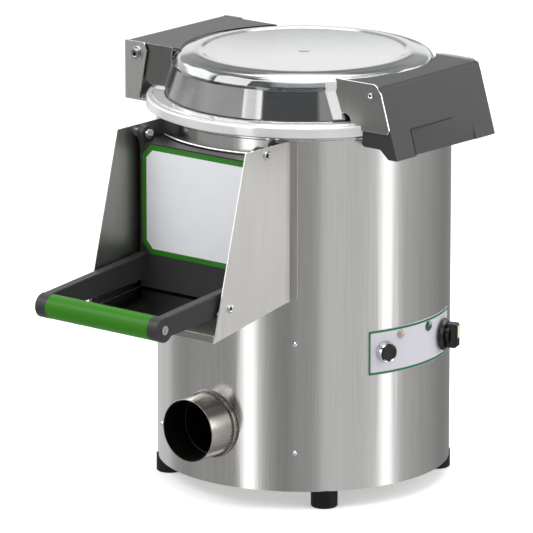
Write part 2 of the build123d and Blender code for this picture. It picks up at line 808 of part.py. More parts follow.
def peeling_disc():
    """Cast disc that carries the grit, with its hub and the blades that sweep peelings to the drain."""
    plate = disc(DISC_R, DISC_Z, DISC_TOP)
    plate += disc(HUB_R, DISC_Z - HUB_DROP, DISC_Z)
    span = (-PADDLE_T / 2, PADDLE_T / 2)
    for n in range(PADDLE_COUNT):
        blade = block(HUB_R - BITE, DISC_R - PADDLE_EDGE, *span, DISC_Z - PADDLE_DROP, DISC_Z)
        plate += Rot(0, 0, (360.0 * n + 180.0) / PADDLE_COUNT) * blade
    plate -= disc(HUB_POCKET_R, DISC_Z - HUB_DROP, DISC_Z - HUB_WEB)
    return plate - disc(SHAFT_R + RUN, DISC_Z - HUB_DROP, DISC_TOP)


def drive_shaft():
    """Stepped shaft from the driven pulley up to the disc."""
    shaft = disc(SHAFT_R, PULLEY_Z - SHAFT_PROUD, DISC_TOP)
    return shaft + disc(STUD_R, DISC_TOP, DISC_TOP + STUD_H)


def disc_nut():
    """Round-topped nut that clamps the disc on its shaft."""
    nut = Pos(0, 0, DISC_TOP) * hexagon(CAP_NUT_R, CAP_NUT_H)
    cap = Pos(0, 0, DISC_TOP + CAP_NUT_H) * dome(CAP_DOME_R, CAP_DOME_H)
    return nut + cap - disc(STUD_R + RUN, DISC_TOP, DISC_TOP + STUD_H)


def flange_bolt_places():
    """X and Y of the bolts that hang the bearing housing."""
    turns = [FLANGE_BOLT_START + 360.0 * n / FLANGE_BOLTS for n in range(FLANGE_BOLTS)]
    return [around(turn, FLANGE_BOLT_PCD_R) for turn in turns]


def bearing_housing():
    """Cast tube with a flange, bolted under the deck."""
    body = disc(HOUSING_R, HOUSING_Z, DECK_Z) + disc(FLANGE_R, DECK_Z - FLANGE_T, DECK_Z)
    seat, root = DECK_Z - FLANGE_T, HOUSING_R - BITE
    rib = cut_y([(root, seat), (FLANGE_R - RIB_EDGE, seat), (root, seat - RIB_H)], -RIB_T / 2, RIB_T / 2)
    for turn in range(FLANGE_BOLTS):
        body += Rot(0, 0, 360.0 * turn / FLANGE_BOLTS) * rib
    body -= disc(BEARING_R + SEAM, HOUSING_Z, HOUSING_Z + BEARING_W)
    body -= disc(BEARING_R + SEAM, UPPER_BEARING_Z, DECK_Z)
    body -= disc(BEARING_R - SHOULDER_T, HOUSING_Z, DECK_Z)
    for x, y in flange_bolt_places():
        body -= disc(M8_R + SEAM, HOUSING_Z, DECK_Z, x, y)
    return body


def housing_bolts():
    """Bolts from below through the housing's flange into the deck."""
    bolts = []
    seat = DECK_Z - FLANGE_T
    for x, y in flange_bolt_places():
        bolt = Pos(0, 0, seat - M8_HEAD_H) * hexagon(M8_HEAD_R, M8_HEAD_H) + disc(M8_R, seat, DECK_TOP)
        bolts.append(Pos(x, y, 0) * bolt)
    return group(bolts)


def ball_bearings():
    """Two sealed ball bearings, each shown as one ring with its shield grooves."""
    groove = (BEARING_R + SHAFT_R) / 2
    half = (BEARING_R - SHAFT_R) / 2 - BEARING_RACE
    bearing = ring(BEARING_R, SHAFT_R + RUN, 0, BEARING_W)
    for face in (0.0, BEARING_W - SHIELD_DEPTH):
        bearing -= ring(groove + half, groove - half, face, face + SHIELD_DEPTH)
    return group([Pos(0, 0, bottom) * bearing for bottom in (HOUSING_Z, UPPER_BEARING_Z)])


def shaft_seal():
    """Lip seal at the top of the housing."""
    return ring(BEARING_R, SHAFT_R + RUN, DECK_Z - SEAL_T, DECK_Z)


# ---------------------------------------------------------------- belt drive and motor


def pulley(radius, bore, hub):
    """Ribbed pulley about the local Z axis, standing on z = 0."""
    body = disc(radius, 0, PULLEY_W)
    step = PULLEY_W / (GROOVE_COUNT + 1)
    for n in range(GROOVE_COUNT):
        z = step * (n + 1)
        body -= turned([(radius - GROOVE, z), (radius + BITE, z - step / 3), (radius + BITE, z + step / 3)])
    if radius - PULLEY_RIM > hub:
        for face in (0.0, (PULLEY_W + PULLEY_WEB) / 2):
            body -= ring(radius - PULLEY_RIM, hub, face, face + (PULLEY_W - PULLEY_WEB) / 2)
    return body - disc(bore, 0, PULLEY_W)


def driven_pulley():
    """Large pulley on the disc's shaft."""
    return Pos(0, 0, PULLEY_Z) * pulley(DRIVEN_R, SHAFT_R + RUN, PULLEY_HUB_R)


def motor_pulley():
    """Small pulley on the motor's shaft."""
    return Pos(0, MOTOR_Y, PULLEY_Z) * pulley(PINION_R, MOTOR_SHAFT_R + RUN, PULLEY_HUB_R)


def belt_loop(driven, pinion, bottom, top):
    """Filled outline of an open belt around two wheels of given radii."""
    lean = atan2(driven - pinion, sqrt(MOTOR_Y**2 - (driven - pinion) ** 2))
    c, s = cos(lean), sin(lean)
    corners = [
        (driven * c, driven * s),
        (pinion * c, MOTOR_Y + pinion * s),
        (-pinion * c, MOTOR_Y + pinion * s),
        (-driven * c, driven * s),
    ]
    face = make_face(Polyline(*corners, close=True))
    loop = extrude(Pos(0, 0, bottom) * face, top - bottom, dir=(0, 0, 1))
    return loop + disc(driven, bottom, top) + disc(pinion, bottom, top, 0, MOTOR_Y)


def drive_belt():
    """Ribbed belt around both pulleys, shown as a plain loop."""
    low = PULLEY_Z + (PULLEY_W - BELT_W) / 2
    outside = BELT_GAP + BELT_T
    outer = belt_loop(DRIVEN_R + outside, PINION_R + outside, low, low + BELT_W)
    return outer - belt_loop(DRIVEN_R + BELT_GAP, PINION_R + BELT_GAP, low, low + BELT_W)


def post_places():
    """X and Y of the posts that carry the motor bracket."""
    return [(x, MOTOR_Y + y) for x in (-POST_X, POST_X) for y in (-POST_Y_STEP, POST_Y_STEP)]


def motor_posts():
    """Posts between the motor bracket and the deck."""
    posts = []
    for x, y in post_places():
        post = disc(POST_R, BRACKET_TOP, DECK_Z, x, y)
        post += disc(M8_R, MOTOR_TOP - POST_END, DECK_TOP, x, y)
        post += Pos(x, y, MOTOR_TOP - POST_NUT_H) * hexagon(M8_HEAD_R, POST_NUT_H)
        posts.append(post)
    return group(posts)


def motor_bracket():
    """Plate under the posts that the motor's flange bolts to."""
    half = POST_X + POST_R + BRACKET_MARGIN
    reach = POST_Y_STEP + POST_R + BRACKET_MARGIN
    plate = block(-half, half, MOTOR_Y - reach, MOTOR_Y + reach, MOTOR_TOP, BRACKET_TOP)
    plate = fillet(plate.edges().filter_by(Axis.Z), POST_R)
    for x, y in post_places():
        plate -= disc(M8_R + SEAM, MOTOR_TOP, BRACKET_TOP, x, y)
    return plate


def motor():
    """Vertical induction motor with cooling fins and two end bells."""
    low, high = MOTOR_Z + MOTOR_BELL_H, MOTOR_TOP - MOTOR_BELL_H
    body = disc(MOTOR_R - FIN_H, MOTOR_Z, MOTOR_TOP)
    bell = MOTOR_R - MOTOR_BELL_IN
    nose = bell - MOTOR_BELL_TAPER
    for start, end, foot_r, rim_r in ((MOTOR_Z, low, nose, bell), (high, MOTOR_TOP, bell, nose)):
        body += turned([(0, start), (foot_r, start), (rim_r, end), (0, end)])
    for n in range(FIN_COUNT):
        fin = block(MOTOR_R - FIN_H - BITE, MOTOR_R, -FIN_T / 2, FIN_T / 2, low, high)
        body += Rot(0, 0, (360.0 * n + 180.0) / FIN_COUNT) * fin
    body -= disc(MOTOR_SHAFT_R + RUN, MOTOR_Z, MOTOR_Z + MOTOR_BELL_H)
    for x, y in post_places():
        body -= disc(M8_HEAD_R + POST_ROOM, MOTOR_TOP - POST_END - POST_ROOM, MOTOR_TOP, x, y - MOTOR_Y)
    return Pos(0, MOTOR_Y, 0) * body


def motor_shaft():
    """Output shaft that hangs below the motor."""
    return disc(MOTOR_SHAFT_R, PULLEY_Z - SHAFT_PROUD, MOTOR_Z + MOTOR_BELL_H - MOVE, 0, MOTOR_Y)


def terminal_box():
    """Closed box for the contactor and terminals, on the base plate."""
    x, y, z = TERMINAL_SIZE
    box = block(TERMINAL_X - x / 2, TERMINAL_X + x / 2, -y / 2, y / 2, BASE_TOP, BASE_TOP + z)
    return fillet(box.edges().filter_by(Axis.Z), TERMINAL_ROUND)


# ---------------------------------------------------------------- drain and water


def drain_outline(elbow, pipe):
    """Filled drain: down from the deck, round a bend and out through the casing to a wider pipe."""
    bend = disc(elbow, PIPE_Z, DECK_Z, 0, ELBOW_Y) + Pos(0, ELBOW_Y, PIPE_Z) * Sphere(elbow)
    bend += y_pin(elbow, PIPE_MOUTH_Y, ELBOW_Y, 0, PIPE_Z)
    return bend + y_pin(pipe, PIPE_MOUTH_Y, -(DRUM_R + WELD_REACH), 0, PIPE_Z)


def drain_pipe():
    """Drain with its bend inside the casing, the weld around it and its open mouth in front."""
    weld = y_pin(WELD_R, -(DRUM_R + WELD_REACH), 0, 0, PIPE_Z) - disc(DRUM_R + SEAM, 0, DECK_Z)
    drain = drain_outline(ELBOW_R, PIPE_R) + largest(weld)
    return drain - drain_outline(ELBOW_R - PIPE_WALL, PIPE_R - PIPE_WALL)


def water_inlet():
    """Threaded spigot at the back with its outer hexagon and a spray end that points down."""
    back = DRUM_IN - INLET_IN
    end = back - NOZZLE_L
    body = out_pin(180, INLET_Z, INLET_R, end, DRUM_R + INLET_REACH)
    body += out(180, INLET_Z, DRUM_R + SEAM) * hexagon(INLET_NUT_R, INLET_NUT_T)
    body -= out_pin(180, INLET_Z, INLET_BORE_R, end + NOZZLE_WALL, DRUM_R + INLET_REACH)
    return body - block(-NOZZLE_SLOT, NOZZLE_SLOT, end + NOZZLE_WALL, back, INLET_Z - INLET_R, INLET_Z)


def cable_gland():
    """Gland for the supply cable: its open bore grips the cable outside and widens behind that."""
    body = out_pin(GLAND_BEARING, GLAND_Z, GLAND_R, DRUM_IN - GLAND_IN, GLAND_CAP_BASE)
    body += out(GLAND_BEARING, GLAND_Z, DRUM_R + SEAM) * hexagon(GLAND_NUT_R, GLAND_NUT_T)
    body += out(GLAND_BEARING, GLAND_Z, GLAND_CAP_BASE) * turned(
        [
            (0, 0),
            (GLAND_CAP_R, 0),
            (GLAND_CAP_R, GLAND_CAP_STRAIGHT),
            (GLAND_BORE_R + GLAND_CAP_WALL, GLAND_CAP_L),
            (0, GLAND_CAP_L),
        ]
    )
    body -= out_pin(GLAND_BEARING, GLAND_Z, GLAND_ROOM_R, 0, GLAND_CAP_BASE)
    return body - out_pin(GLAND_BEARING, GLAND_Z, GLAND_BORE_R, 0, FAR)


# ---------------------------------------------------------------- control panel


def control_label():
    """Printed panel on the drum behind the controls."""
    low, high = PANEL_Z - PANEL_H / 2, PANEL_Z + PANEL_H / 2
    inner = DRUM_R + SEAM
    plate = arc_plate(inner + PANEL_T, inner, PANEL_START_ANGLE, PANEL_END_ANGLE, low, high)
    return plate - control_holes(SEAM)


def at_panel(bearing, z):
    """Place on the panel's face."""
    return out(bearing, z, PANEL_R + SEAM)


def button_bezel():
    """Bright tapered ring around the push button, with its neck through the wall."""
    crest = BUTTON_R + BEZEL_LIP
    profile = [
        (NECK_R - NECK_WALL, -NECK_L),
        (NECK_R, -NECK_L),
        (NECK_R, 0),
        (BEZEL_R, 0),
        (BEZEL_R, BEZEL_FOOT),
        (crest + BEZEL_SLOPE, BEZEL_H - BEZEL_EDGE),
        (crest, BEZEL_H),
        (BUTTON_R + MOVE, BEZEL_H - BEZEL_EDGE),
        (BUTTON_R + MOVE, BUTTON_EDGE),
        (NECK_R - NECK_WALL, BUTTON_EDGE),
    ]
    return at_panel(BUTTON_BEARING, PANEL_Z) * turned(profile)


def push_button():
    """Round cap with its plunger."""
    under = BEZEL_H - BUTTON_HEAD
    rim = BEZEL_H - BUTTON_EDGE
    face = [(BUTTON_R, under), (BUTTON_R, rim), (BUTTON_R - BUTTON_EDGE, BEZEL_H), (0, BEZEL_H - BUTTON_DISH)]
    cap = turned([(0, under)] + face)
    cap += disc(BUTTON_STEM_R, -BUTTON_STEM_L, under)
    return at_panel(BUTTON_BEARING, PANEL_Z) * cap


def button_switch():
    """Contact block behind the button, with its lock ring and a bore for the plunger."""
    x, y, depth = SWITCH_SIZE
    seat = WALL_BACK - LOCK_RING_GAP
    body = Pos(0, 0, -NECK_L - depth) * Box(x, y, depth, align=BASE)
    body += ring(BEZEL_R, NECK_R + SEAM, seat - LOCK_RING_T, seat)
    body += ring(NECK_R + SWITCH_COLLAR_T, NECK_R + SEAM, -NECK_L, seat - LOCK_RING_T)
    body -= disc(BUTTON_STEM_R + MOVE, -NECK_L - BUTTON_TRAVEL - MOVE, -BUTTON_STEM_L)
    return at_panel(BUTTON_BEARING, PANEL_Z) * body


def lamp_lens(bearing, radius):
    """Domed lens with a short rim and the barrel behind it."""
    lens = disc(radius, 0, LENS_RIM) + Pos(0, 0, LENS_RIM) * dome(radius - LENS_STEP, LENS_H - LENS_RIM)
    lens += disc(LAMP_BARREL_R, -LAMP_BARREL_L, 0)
    return at_panel(bearing, LAMP_Z) * lens


def at_timer():
    """Place on the panel's face at the timer."""
    return at_panel(TIMER_BEARING, TIMER_Z)


def timer_knob():
    """Black knob: round skirt, neck, grip bar and the spindle behind it."""
    width, length, height = KNOB_BAR
    skirt = turned(
        [
            (0, SKIRT_LIFT),
            (SKIRT_R, SKIRT_LIFT),
            (SKIRT_R, SKIRT_LIFT + SKIRT_EDGE),
            (SKIRT_R - SKIRT_TAPER, SKIRT_LIFT + SKIRT_T),
            (0, SKIRT_LIFT + SKIRT_T),
        ]
    )
    knob = skirt + disc(KNOB_NECK_R, SKIRT_LIFT, SKIRT_LIFT + SKIRT_T + KNOB_NECK_H)
    bar = Pos(0, 0, SKIRT_LIFT + SKIRT_T - BITE) * Box(width, length, height, align=BASE)
    bar = chamfer(bar.faces().sort_by(Axis.Z)[-1].edges(), KNOB_BAR_EDGE)
    return at_timer() * (knob + bar + disc(SPINDLE_R, -SPINDLE_L, SKIRT_LIFT))


def timer_body():
    """Clockwork timer behind the wall."""
    seat = WALL_BACK - TIMER_GAP
    body = disc(TIMER_R, seat - TIMER_DEPTH, seat)
    return at_timer() * (body - disc(SPINDLE_R + RUN, -SPINDLE_L - MOVE, 0))


# ---------------------------------------------------------------- chute


def drum_y(x):
    """Y of the drum's front surface at a distance from the middle."""
    return -sqrt(DRUM_R**2 - x**2)


def cheek(side):
    """Side sheet of the chute, welded to the drum by a narrow bent edge."""
    rise = (CHEEK_REAR_Z - LIP_Z) / (drum_y(CHEEK_X) - LIP_Y)
    rear_low = CHEEK_REAR_Z - rise * (CHEEK_X + drum_y(CHEEK_X))
    outline = [(CHEEK_TOP_Y, CHEEK_TOP), (LIP_Y, LIP_Z), (-CHEEK_X, rear_low), (-CHEEK_X, CHEEK_TOP)]
    sheet = cut_x(outline, *side_span(side, CHEEK_IN, CHEEK_X))
    weld = ring(DRUM_R + SEAM + CHEEK_T, DRUM_R + SEAM, CHEEK_REAR_Z, CHEEK_TOP)
    weld &= block(*side_span(side, CHEEK_IN, CHEEK_X + CHEEK_WELD), -FAR, 0, CHEEK_REAR_Z, CHEEK_TOP)
    sheet = (sheet + weld) - disc(DRUM_R + SEAM, 0, SKY)
    sheet -= x_hole(PIVOT_R + SEAM, side, EAR_Y, EAR_Z)
    sheet -= x_hole(M6_R + SEAM, side, CHUTE_SCREW_Y, CHUTE_SCREW_Z)
    return largest(sheet)


def chute_floor():
    """Bent tray between the cheeks: floor, front lip and two side flanges."""
    half, rear = CHEEK_IN - SEAM, -CHEEK_X
    front_low, rear_low = FLOOR_FRONT_Z - FLOOR_T, floor_z(rear) - FLOOR_T
    sheet = [(LIP_Y, FLOOR_FRONT_Z), (rear, floor_z(rear)), (rear, rear_low), (LIP_Y, front_low)]
    tray = cut_x(sheet, -half, half) + block(-half, half, LIP_Y, LIP_Y + FLOOR_T, LIP_Z, FLOOR_FRONT_Z)
    side_top = floor_z(FLOOR_SIDE_Y) + FLOOR_SIDE_H
    flange = [
        (FLOOR_SIDE_Y, floor_z(FLOOR_SIDE_Y) - FLOOR_T),
        (rear, rear_low),
        (rear, floor_z(rear) + FLOOR_SIDE_H),
        (FLOOR_SIDE_Y + FLOOR_SIDE_CORNER, side_top),
        (FLOOR_SIDE_Y, side_top - FLOOR_SIDE_CORNER),
    ]
    for side in (-1, 1):
        tray += cut_x(flange, *side_span(side, half - FLOOR_T, half))
        tray -= x_hole(M6_R + SEAM, side, CHUTE_SCREW_Y, CHUTE_SCREW_Z)
    return largest(tray - disc(DRUM_R + SEAM, 0, SKY))


def chute_screws():
    """Flat-headed screws with nuts, one through each cheek and floor flange."""
    seat = CHEEK_IN - SEAM - FLOOR_T
    place = (CHUTE_SCREW_Y, CHUTE_SCREW_Z)
    screws = []
    for side in (-1, 1):
        head = x_pin(CHUTE_SCREW_HEAD_R, *side_span(side, CHEEK_X, CHEEK_X + CHUTE_SCREW_HEAD_H), *place)
        shank = x_pin(M6_R, *side_span(side, seat - CHUTE_NUT_T, CHEEK_X), *place)
        nut = x_pin(CHUTE_NUT_R, *side_span(side, seat - CHUTE_NUT_T, seat), *place)
        screws.append(head + shank + nut)
    return group(screws)


# ---------------------------------------------------------------- door


def door_block(inset, back):
    """Block between the door's front plane and a cylinder about the drum's axis, inset at its edges."""
    low = DOOR_FLOOR_GAP + inset / 2
    top, reach = DOOR_TOP - inset, -OPENING_HALF
    front = DOOR_FRONT_Y
    outline = [(front, top), (front, floor_z(front) + low), (reach, floor_z(reach) + low), (reach, top)]
    return cut_x(outline, -DOOR_HALF + inset, DOOR_HALF - inset) - disc(back, 0, SKY)


def plug_block(inset):
    """Part of the door that enters the opening, inset from its outer faces."""
    low, top = DOOR_FLOOR_GAP + inset, PLUG_TOP - inset
    front, rear = DOOR_FRONT_Y, -OPENING_HALF
    outline = [(front, top), (front, floor_z(front) + low), (rear, floor_z(rear) + low), (rear, top)]
    return cut_x(outline, -PLUG_HALF + inset, PLUG_HALF - inset)


def door_panel():
    """Moulded door: flat front, side walls, plug frame and two hinge ears."""
    shell = door_block(0, DOOR_BACK_R) + plug_block(0) - disc(DRUM_R, 0, SKY)
    shell -= plug_block(DOOR_SKIN) - block(-FAR, FAR, -FAR, DOOR_FRONT_Y + DOOR_SKIN, 0, SKY)
    foot_z = DOOR_TOP - DOOR_EDGE
    ear = [(EAR_Y - EAR_R, EAR_Z), (DOOR_FRONT_Y, foot_z), (EAR_Y + EAR_FOOT, foot_z), (EAR_Y + EAR_R, EAR_Z)]
    for side in (-1, 1):
        span = side_span(side, DOOR_HALF - EAR_T, DOOR_HALF)
        shell += x_pin(EAR_R, *span, EAR_Y, EAR_Z) + cut_x(ear, *span)
        shell -= x_hole(PIVOT_R + RUN, side, EAR_Y, EAR_Z) + arm_bolt_holes(side)
    return largest(shell - block(-FAR, FAR, -FAR, DOOR_FRONT_Y, 0, foot_z))


def door_liner():
    """Curved inner plate of the door, gritted like the drum."""
    plate = ring(DRUM_R - SEAM, DRUM_R - SEAM - DOOR_LINER_T, 0, SKY)
    return plate & plug_block(0)


def door_gasket():
    """Rubber frame between the door and the drum."""
    sheet = ring(DOOR_BACK_R - SEAM, DRUM_R + MOVE, 0, SKY)
    frame = sheet & door_block(GASKET_INSET, DRUM_R)
    half, low = PLUG_HALF + SEAM, floor_z(DOOR_FRONT_Y) - GASKET_TAIL
    return frame - block(-half, half, -FAR, -OPENING_HALF, low, PLUG_TOP + SEAM)


def door_label():
    """Printed sheet on the door's front, with cut corners."""
    half, low, high, corner = LABEL_HALF, LABEL_LOW, LABEL_HIGH, LABEL_CHAMFER
    outline = [
        (-half + corner, low),
        (half - corner, low),
        (half, low + corner),
        (half, high - corner),
        (half - corner, high),
        (-half + corner, high),
        (-half, high - corner),
        (-half, low + corner),
    ]
    return cut_y(outline, DOOR_FRONT_Y - LABEL_T, DOOR_FRONT_Y)


def arm_bolt_places():
    """X without its sign, and Z, of the screws that hold each arm to the door."""
    return [(ARM_X - ARM_T / 2, ARM_BOLT_MIDDLE + step) for step in (-ARM_BOLT_STEP, ARM_BOLT_STEP)]


def arm_bolt_holes(side):
    """Cutter for the screws from the door into one arm."""
    start = DOOR_FRONT_Y - ARM_BOLT_L - ARM_BOLT_ROOM
    first, second = [y_pin(M6_R + SEAM, start, 0, side * x, z) for x, z in arm_bolt_places()]
    return first + second


def door_arm(side):
    """Arm from the door to the handle, with a round end."""
    outline = [
        (GRIP_Y, GRIP_Z + GRIP_R),
        (DOOR_FRONT_Y, ARM_REAR_TOP),
        (DOOR_FRONT_Y, ARM_REAR_LOW),
        (GRIP_Y + ARM_CHIN, GRIP_Z - ARM_CHIN_DROP),
        (GRIP_Y, GRIP_Z - ARM_CHIN_DROP),
    ]
    arm = cut_x(outline, *side_span(side, ARM_X - ARM_T, ARM_X))
    arm = fillet(arm.edges().filter_by(lambda e: e.length > ARM_LONG), ARM_ROUND)
    arm += x_pin(GRIP_R, *side_span(side, ARM_X - ARM_CAP, ARM_X), GRIP_Y, GRIP_Z)
    arm -= x_hole(GRIP_BOLT_R + SEAM, side, GRIP_Y, GRIP_Z)
    arm -= x_pin(GRIP_BOLT_HEAD_R + SEAM, *side_span(side, ARM_X - GRIP_BOLT_HEAD_H, FAR), GRIP_Y, GRIP_Z)
    return arm - arm_bolt_holes(side)


def handle_tube():
    """Steel tube inside the grip, between the two arms."""
    half = ARM_X - ARM_CAP - SEAM
    radius = GRIP_R - SLEEVE_T
    tube = x_pin(radius, -half, half, GRIP_Y, GRIP_Z)
    bore = x_pin(radius - TUBE_WALL, -half + TUBE_PLUG_L, half - TUBE_PLUG_L, GRIP_Y, GRIP_Z)
    return tube - bore - x_pin(GRIP_BOLT_R + SEAM, -half, half, GRIP_Y, GRIP_Z)


def handle_grip():
    """Green sleeve over the tube."""
    half = ARM_X - ARM_CAP - SEAM
    sleeve = x_pin(GRIP_R - SLEEVE_UNDER, -half, half, GRIP_Y, GRIP_Z)
    return sleeve - x_pin(GRIP_R - SLEEVE_T + SEAM, -half, half, GRIP_Y, GRIP_Z)


def handle_screws():
    """Socket-head screws at the handle's ends, and the screws from the door into the arms."""
    screws = []
    seat, face = ARM_X - GRIP_BOLT_HEAD_H, ARM_X + GRIP_BOLT_PROUD
    for side in (-1, 1):
        screw = x_pin(GRIP_BOLT_HEAD_R, *side_span(side, seat, face), GRIP_Y, GRIP_Z)
        screw += x_pin(GRIP_BOLT_R, *side_span(side, seat - GRIP_BOLT_L, seat), GRIP_Y, GRIP_Z)
        socket = Rot(0, 90, 0) * Pos(0, 0, -HEX_DEPTH) * hexagon(HEX_R, 2 * HEX_DEPTH)
        screws.append(screw - Pos(side * face, GRIP_Y, GRIP_Z) * socket)
        for x, z in arm_bolt_places():
            screws.append(y_pin(M6_R, DOOR_FRONT_Y - ARM_BOLT_L, DOOR_FRONT_Y + DOOR_SKIN, side * x, z))
    return group(screws)


def door_pivots():
    """Bolts that the door swings on, one through each cheek."""
    pivots = []
    seat = DOOR_HALF - EAR_T - MOVE
    end = seat - PIVOT_NUT_T
    for side in (-1, 1):
        pivot = x_pin(PIVOT_HEAD_R, *side_span(side, CHEEK_X, CHEEK_X + PIVOT_HEAD_H), EAR_Y, EAR_Z)
        pivot += x_pin(PIVOT_R, *side_span(side, end, CHEEK_X), EAR_Y, EAR_Z)
        pivot += x_pin(PIVOT_NUT_R, *side_span(side, end, seat), EAR_Y, EAR_Z)
        collar = x_pin(PIVOT_R + PIVOT_COLLAR_T, *side_span(side, DOOR_HALF + MOVE, CHEEK_IN), EAR_Y, EAR_Z)
        pivots.append(pivot + collar)
    return group(pivots)


# ---------------------------------------------------------------- lid


def lid_shell():
    """Clear dished lid: crown, cone and flange with a turned-down rim."""
    bead_z = LID_NECK_Z + LID_BEAD_H
    outside = [
        (0, LID_TOP - LID_DISH),
        (LID_GROOVE_R - LID_GROOVE_W, LID_TOP - LID_GROOVE),
        (LID_GROOVE_R, LID_TOP),
        (LID_CROWN_R, LID_TOP),
        (LID_CROWN_R, bead_z),
        (LID_NECK_R, LID_NECK_Z),
        (LID_BASE_R, LID_BASE_Z),
        (LID_BASE_R + LID_FLANGE_STEP, LID_FLANGE_Z),
        (LID_RIM_R, LID_FLANGE_Z),
        (LID_RIM_R, LID_RIM_Z),
    ]
    rim_in, crown_in = LID_RIM_R - LID_RIM_WALL, LID_CROWN_R - LID_WALL
    rim_top, crown_top = LID_FLANGE_Z - LID_WALL, LID_TOP - LID_WALL
    inside = [
        (rim_in, LID_RIM_Z),
        (rim_in, rim_top),
        (LID_BASE_R - LID_WALL, rim_top),
        (LID_NECK_R - LID_WALL, LID_NECK_Z),
        (crown_in, bead_z),
        (crown_in, crown_top),
        (LID_GROOVE_R, crown_top - LID_GROOVE),
        (0, crown_top - LID_DISH),
    ]
    rounds = [
        ((LID_CROWN_R, LID_TOP), LID_CROWN_ROUND),
        ((crown_in, crown_top), LID_CROWN_ROUND - LID_WALL),
        ((LID_RIM_R, LID_FLANGE_Z), LID_RIM_ROUND),
        ((rim_in, rim_top), LID_RIM_ROUND - LID_RIM_WALL),
    ]
    return turned(outside + inside, rounds)


def lid_gasket():
    """Soft ring under the lid's flange that seals on the drum's rim."""
    inner, outer = DRUM_R - LID_GASKET_HALF, DRUM_R + LID_GASKET_HALF
    low, top = DRUM_TOP + LID_GASKET_GAP, LID_FLANGE_Z - LID_WALL
    edge = low + LID_GASKET_EDGE
    foot = [(DRUM_R - LID_GASKET_FOOT, low), (DRUM_R + LID_GASKET_FOOT, low)]
    return turned([(inner, top), (inner, edge)] + foot + [(outer, edge), (outer, top)])


def lid_space(gap):
    """Everything that the lid's outside takes up, grown by a gap."""
    rim, flange = LID_RIM_R + gap, LID_FLANGE_Z + gap
    crown = LID_CROWN_R + gap
    low = LID_RIM_Z - BOX_SWEEP
    return turned(
        [
            (0, low),
            (rim, low),
            (rim, flange),
            (LID_BASE_R + LID_FLANGE_STEP + gap, flange),
            (LID_BASE_R + gap, LID_BASE_Z + gap),
            (LID_NECK_R + gap, LID_NECK_Z),
            (crown, LID_NECK_Z + LID_BEAD_H),
            (crown, SKY),
            (0, SKY),
        ]
    )


def wall_tab(toward, side, y_inner, y_outer):
    """Strip bent along the lid's wall from a side plate, outward in Y."""
    strip = lid_space(TAB_GAP + TAB_T) - lid_space(TAB_GAP)
    span = side_span(toward, 0, FAR) + side_span(side, y_inner, y_outer)
    return strip & block(*span, LID_BASE_Z + TAB_LIFT, LID_TOP - TAB_DROP)


def lid_side_plate(side):
    """Stainless cheek of the lid's handle, on the -Y or +Y side, proud of the handle box."""
    low, high = side_span(side, PLATE_Y - PLATE_T, PLATE_Y)
    top, nose = BOX_TOP + PLATE_PROUD, BOX_TOP_X + PLATE_PROUD
    toe = top - PLATE_TOE_DROP
    outline = [
        (PLATE_Y, top),
        (nose - PLATE_ROUND, top),
        (nose, top - PLATE_SHOULDER),
        (nose + PLATE_TOE_OUT, toe),
        (nose + PLATE_TOE_OUT - PLATE_TOE_CUT, toe - PLATE_TOE_H),
        (PLATE_Y, toe - PLATE_TOE_H),
    ]
    plate = cut_y(outline, low, high, [((nose - PLATE_ROUND, top), PLATE_ROUND)]) - lid_space(TAB_GAP)
    relief = sqrt((LID_BASE_R + PLATE_RELIEF_OUT) ** 2 - PLATE_Y**2)
    plate -= y_pin(PLATE_RELIEF_R, low, high, relief, LID_BASE_Z)
    plate -= y_pin(HANDLE_SCREW_R + SEAM, low, high, HANDLE_SCREW_X, HANDLE_SCREW_Z)
    return (largest(plate) + wall_tab(1, side, PLATE_Y - PLATE_T, PLATE_Y + TAB_W)).solid()


def front_x(z, inset=0.0):
    """X of the handle's sloped front face at a height, less an inset."""
    return BOX_TOP_X + BOX_SLOPE * (BOX_TOP - z) - inset


def handle_body(half):
    """Filled handle box: sloped front, and sides that rise in a curve to clear the drum's rim."""
    step = BOX_LOW + BOX_STEP_H
    rear = DRUM_R - BOX_REAR_IN
    corners = [(DRUM_R + BOX_STEP_REACH, step), (DRUM_R - BOX_STEP_IN, step)]
    outline = [(PLATE_Y, BOX_TOP), (BOX_TOP_X, BOX_TOP), (BOX_LOW_X, BOX_LOW), (BOX_LOW_X - BOX_TOE, BOX_LOW)]
    outline += corners + [(rear, BOX_LOW + BOX_REAR_H), (rear, BOX_LOW + BOX_REAR_TOP)]
    outline += [(PLATE_Y, BOX_LOW + BOX_REAR_TOP)]
    rounds = [(corner, BOX_SWEEP) for corner in corners] + [((BOX_TOP_X, BOX_TOP), BOX_ROUND)]
    return cut_y(outline, -half, half, rounds)


def run_out(tool):
    """Turns a tool of the finger recess about its middle, so that the recess runs out toward +Y."""
    middle = front_x(RECESS_TOP)
    return Pos(middle, 0, 0) * Rot(0, 0, -RECESS_TURN_ANGLE) * Pos(-middle, 0, 0) * tool


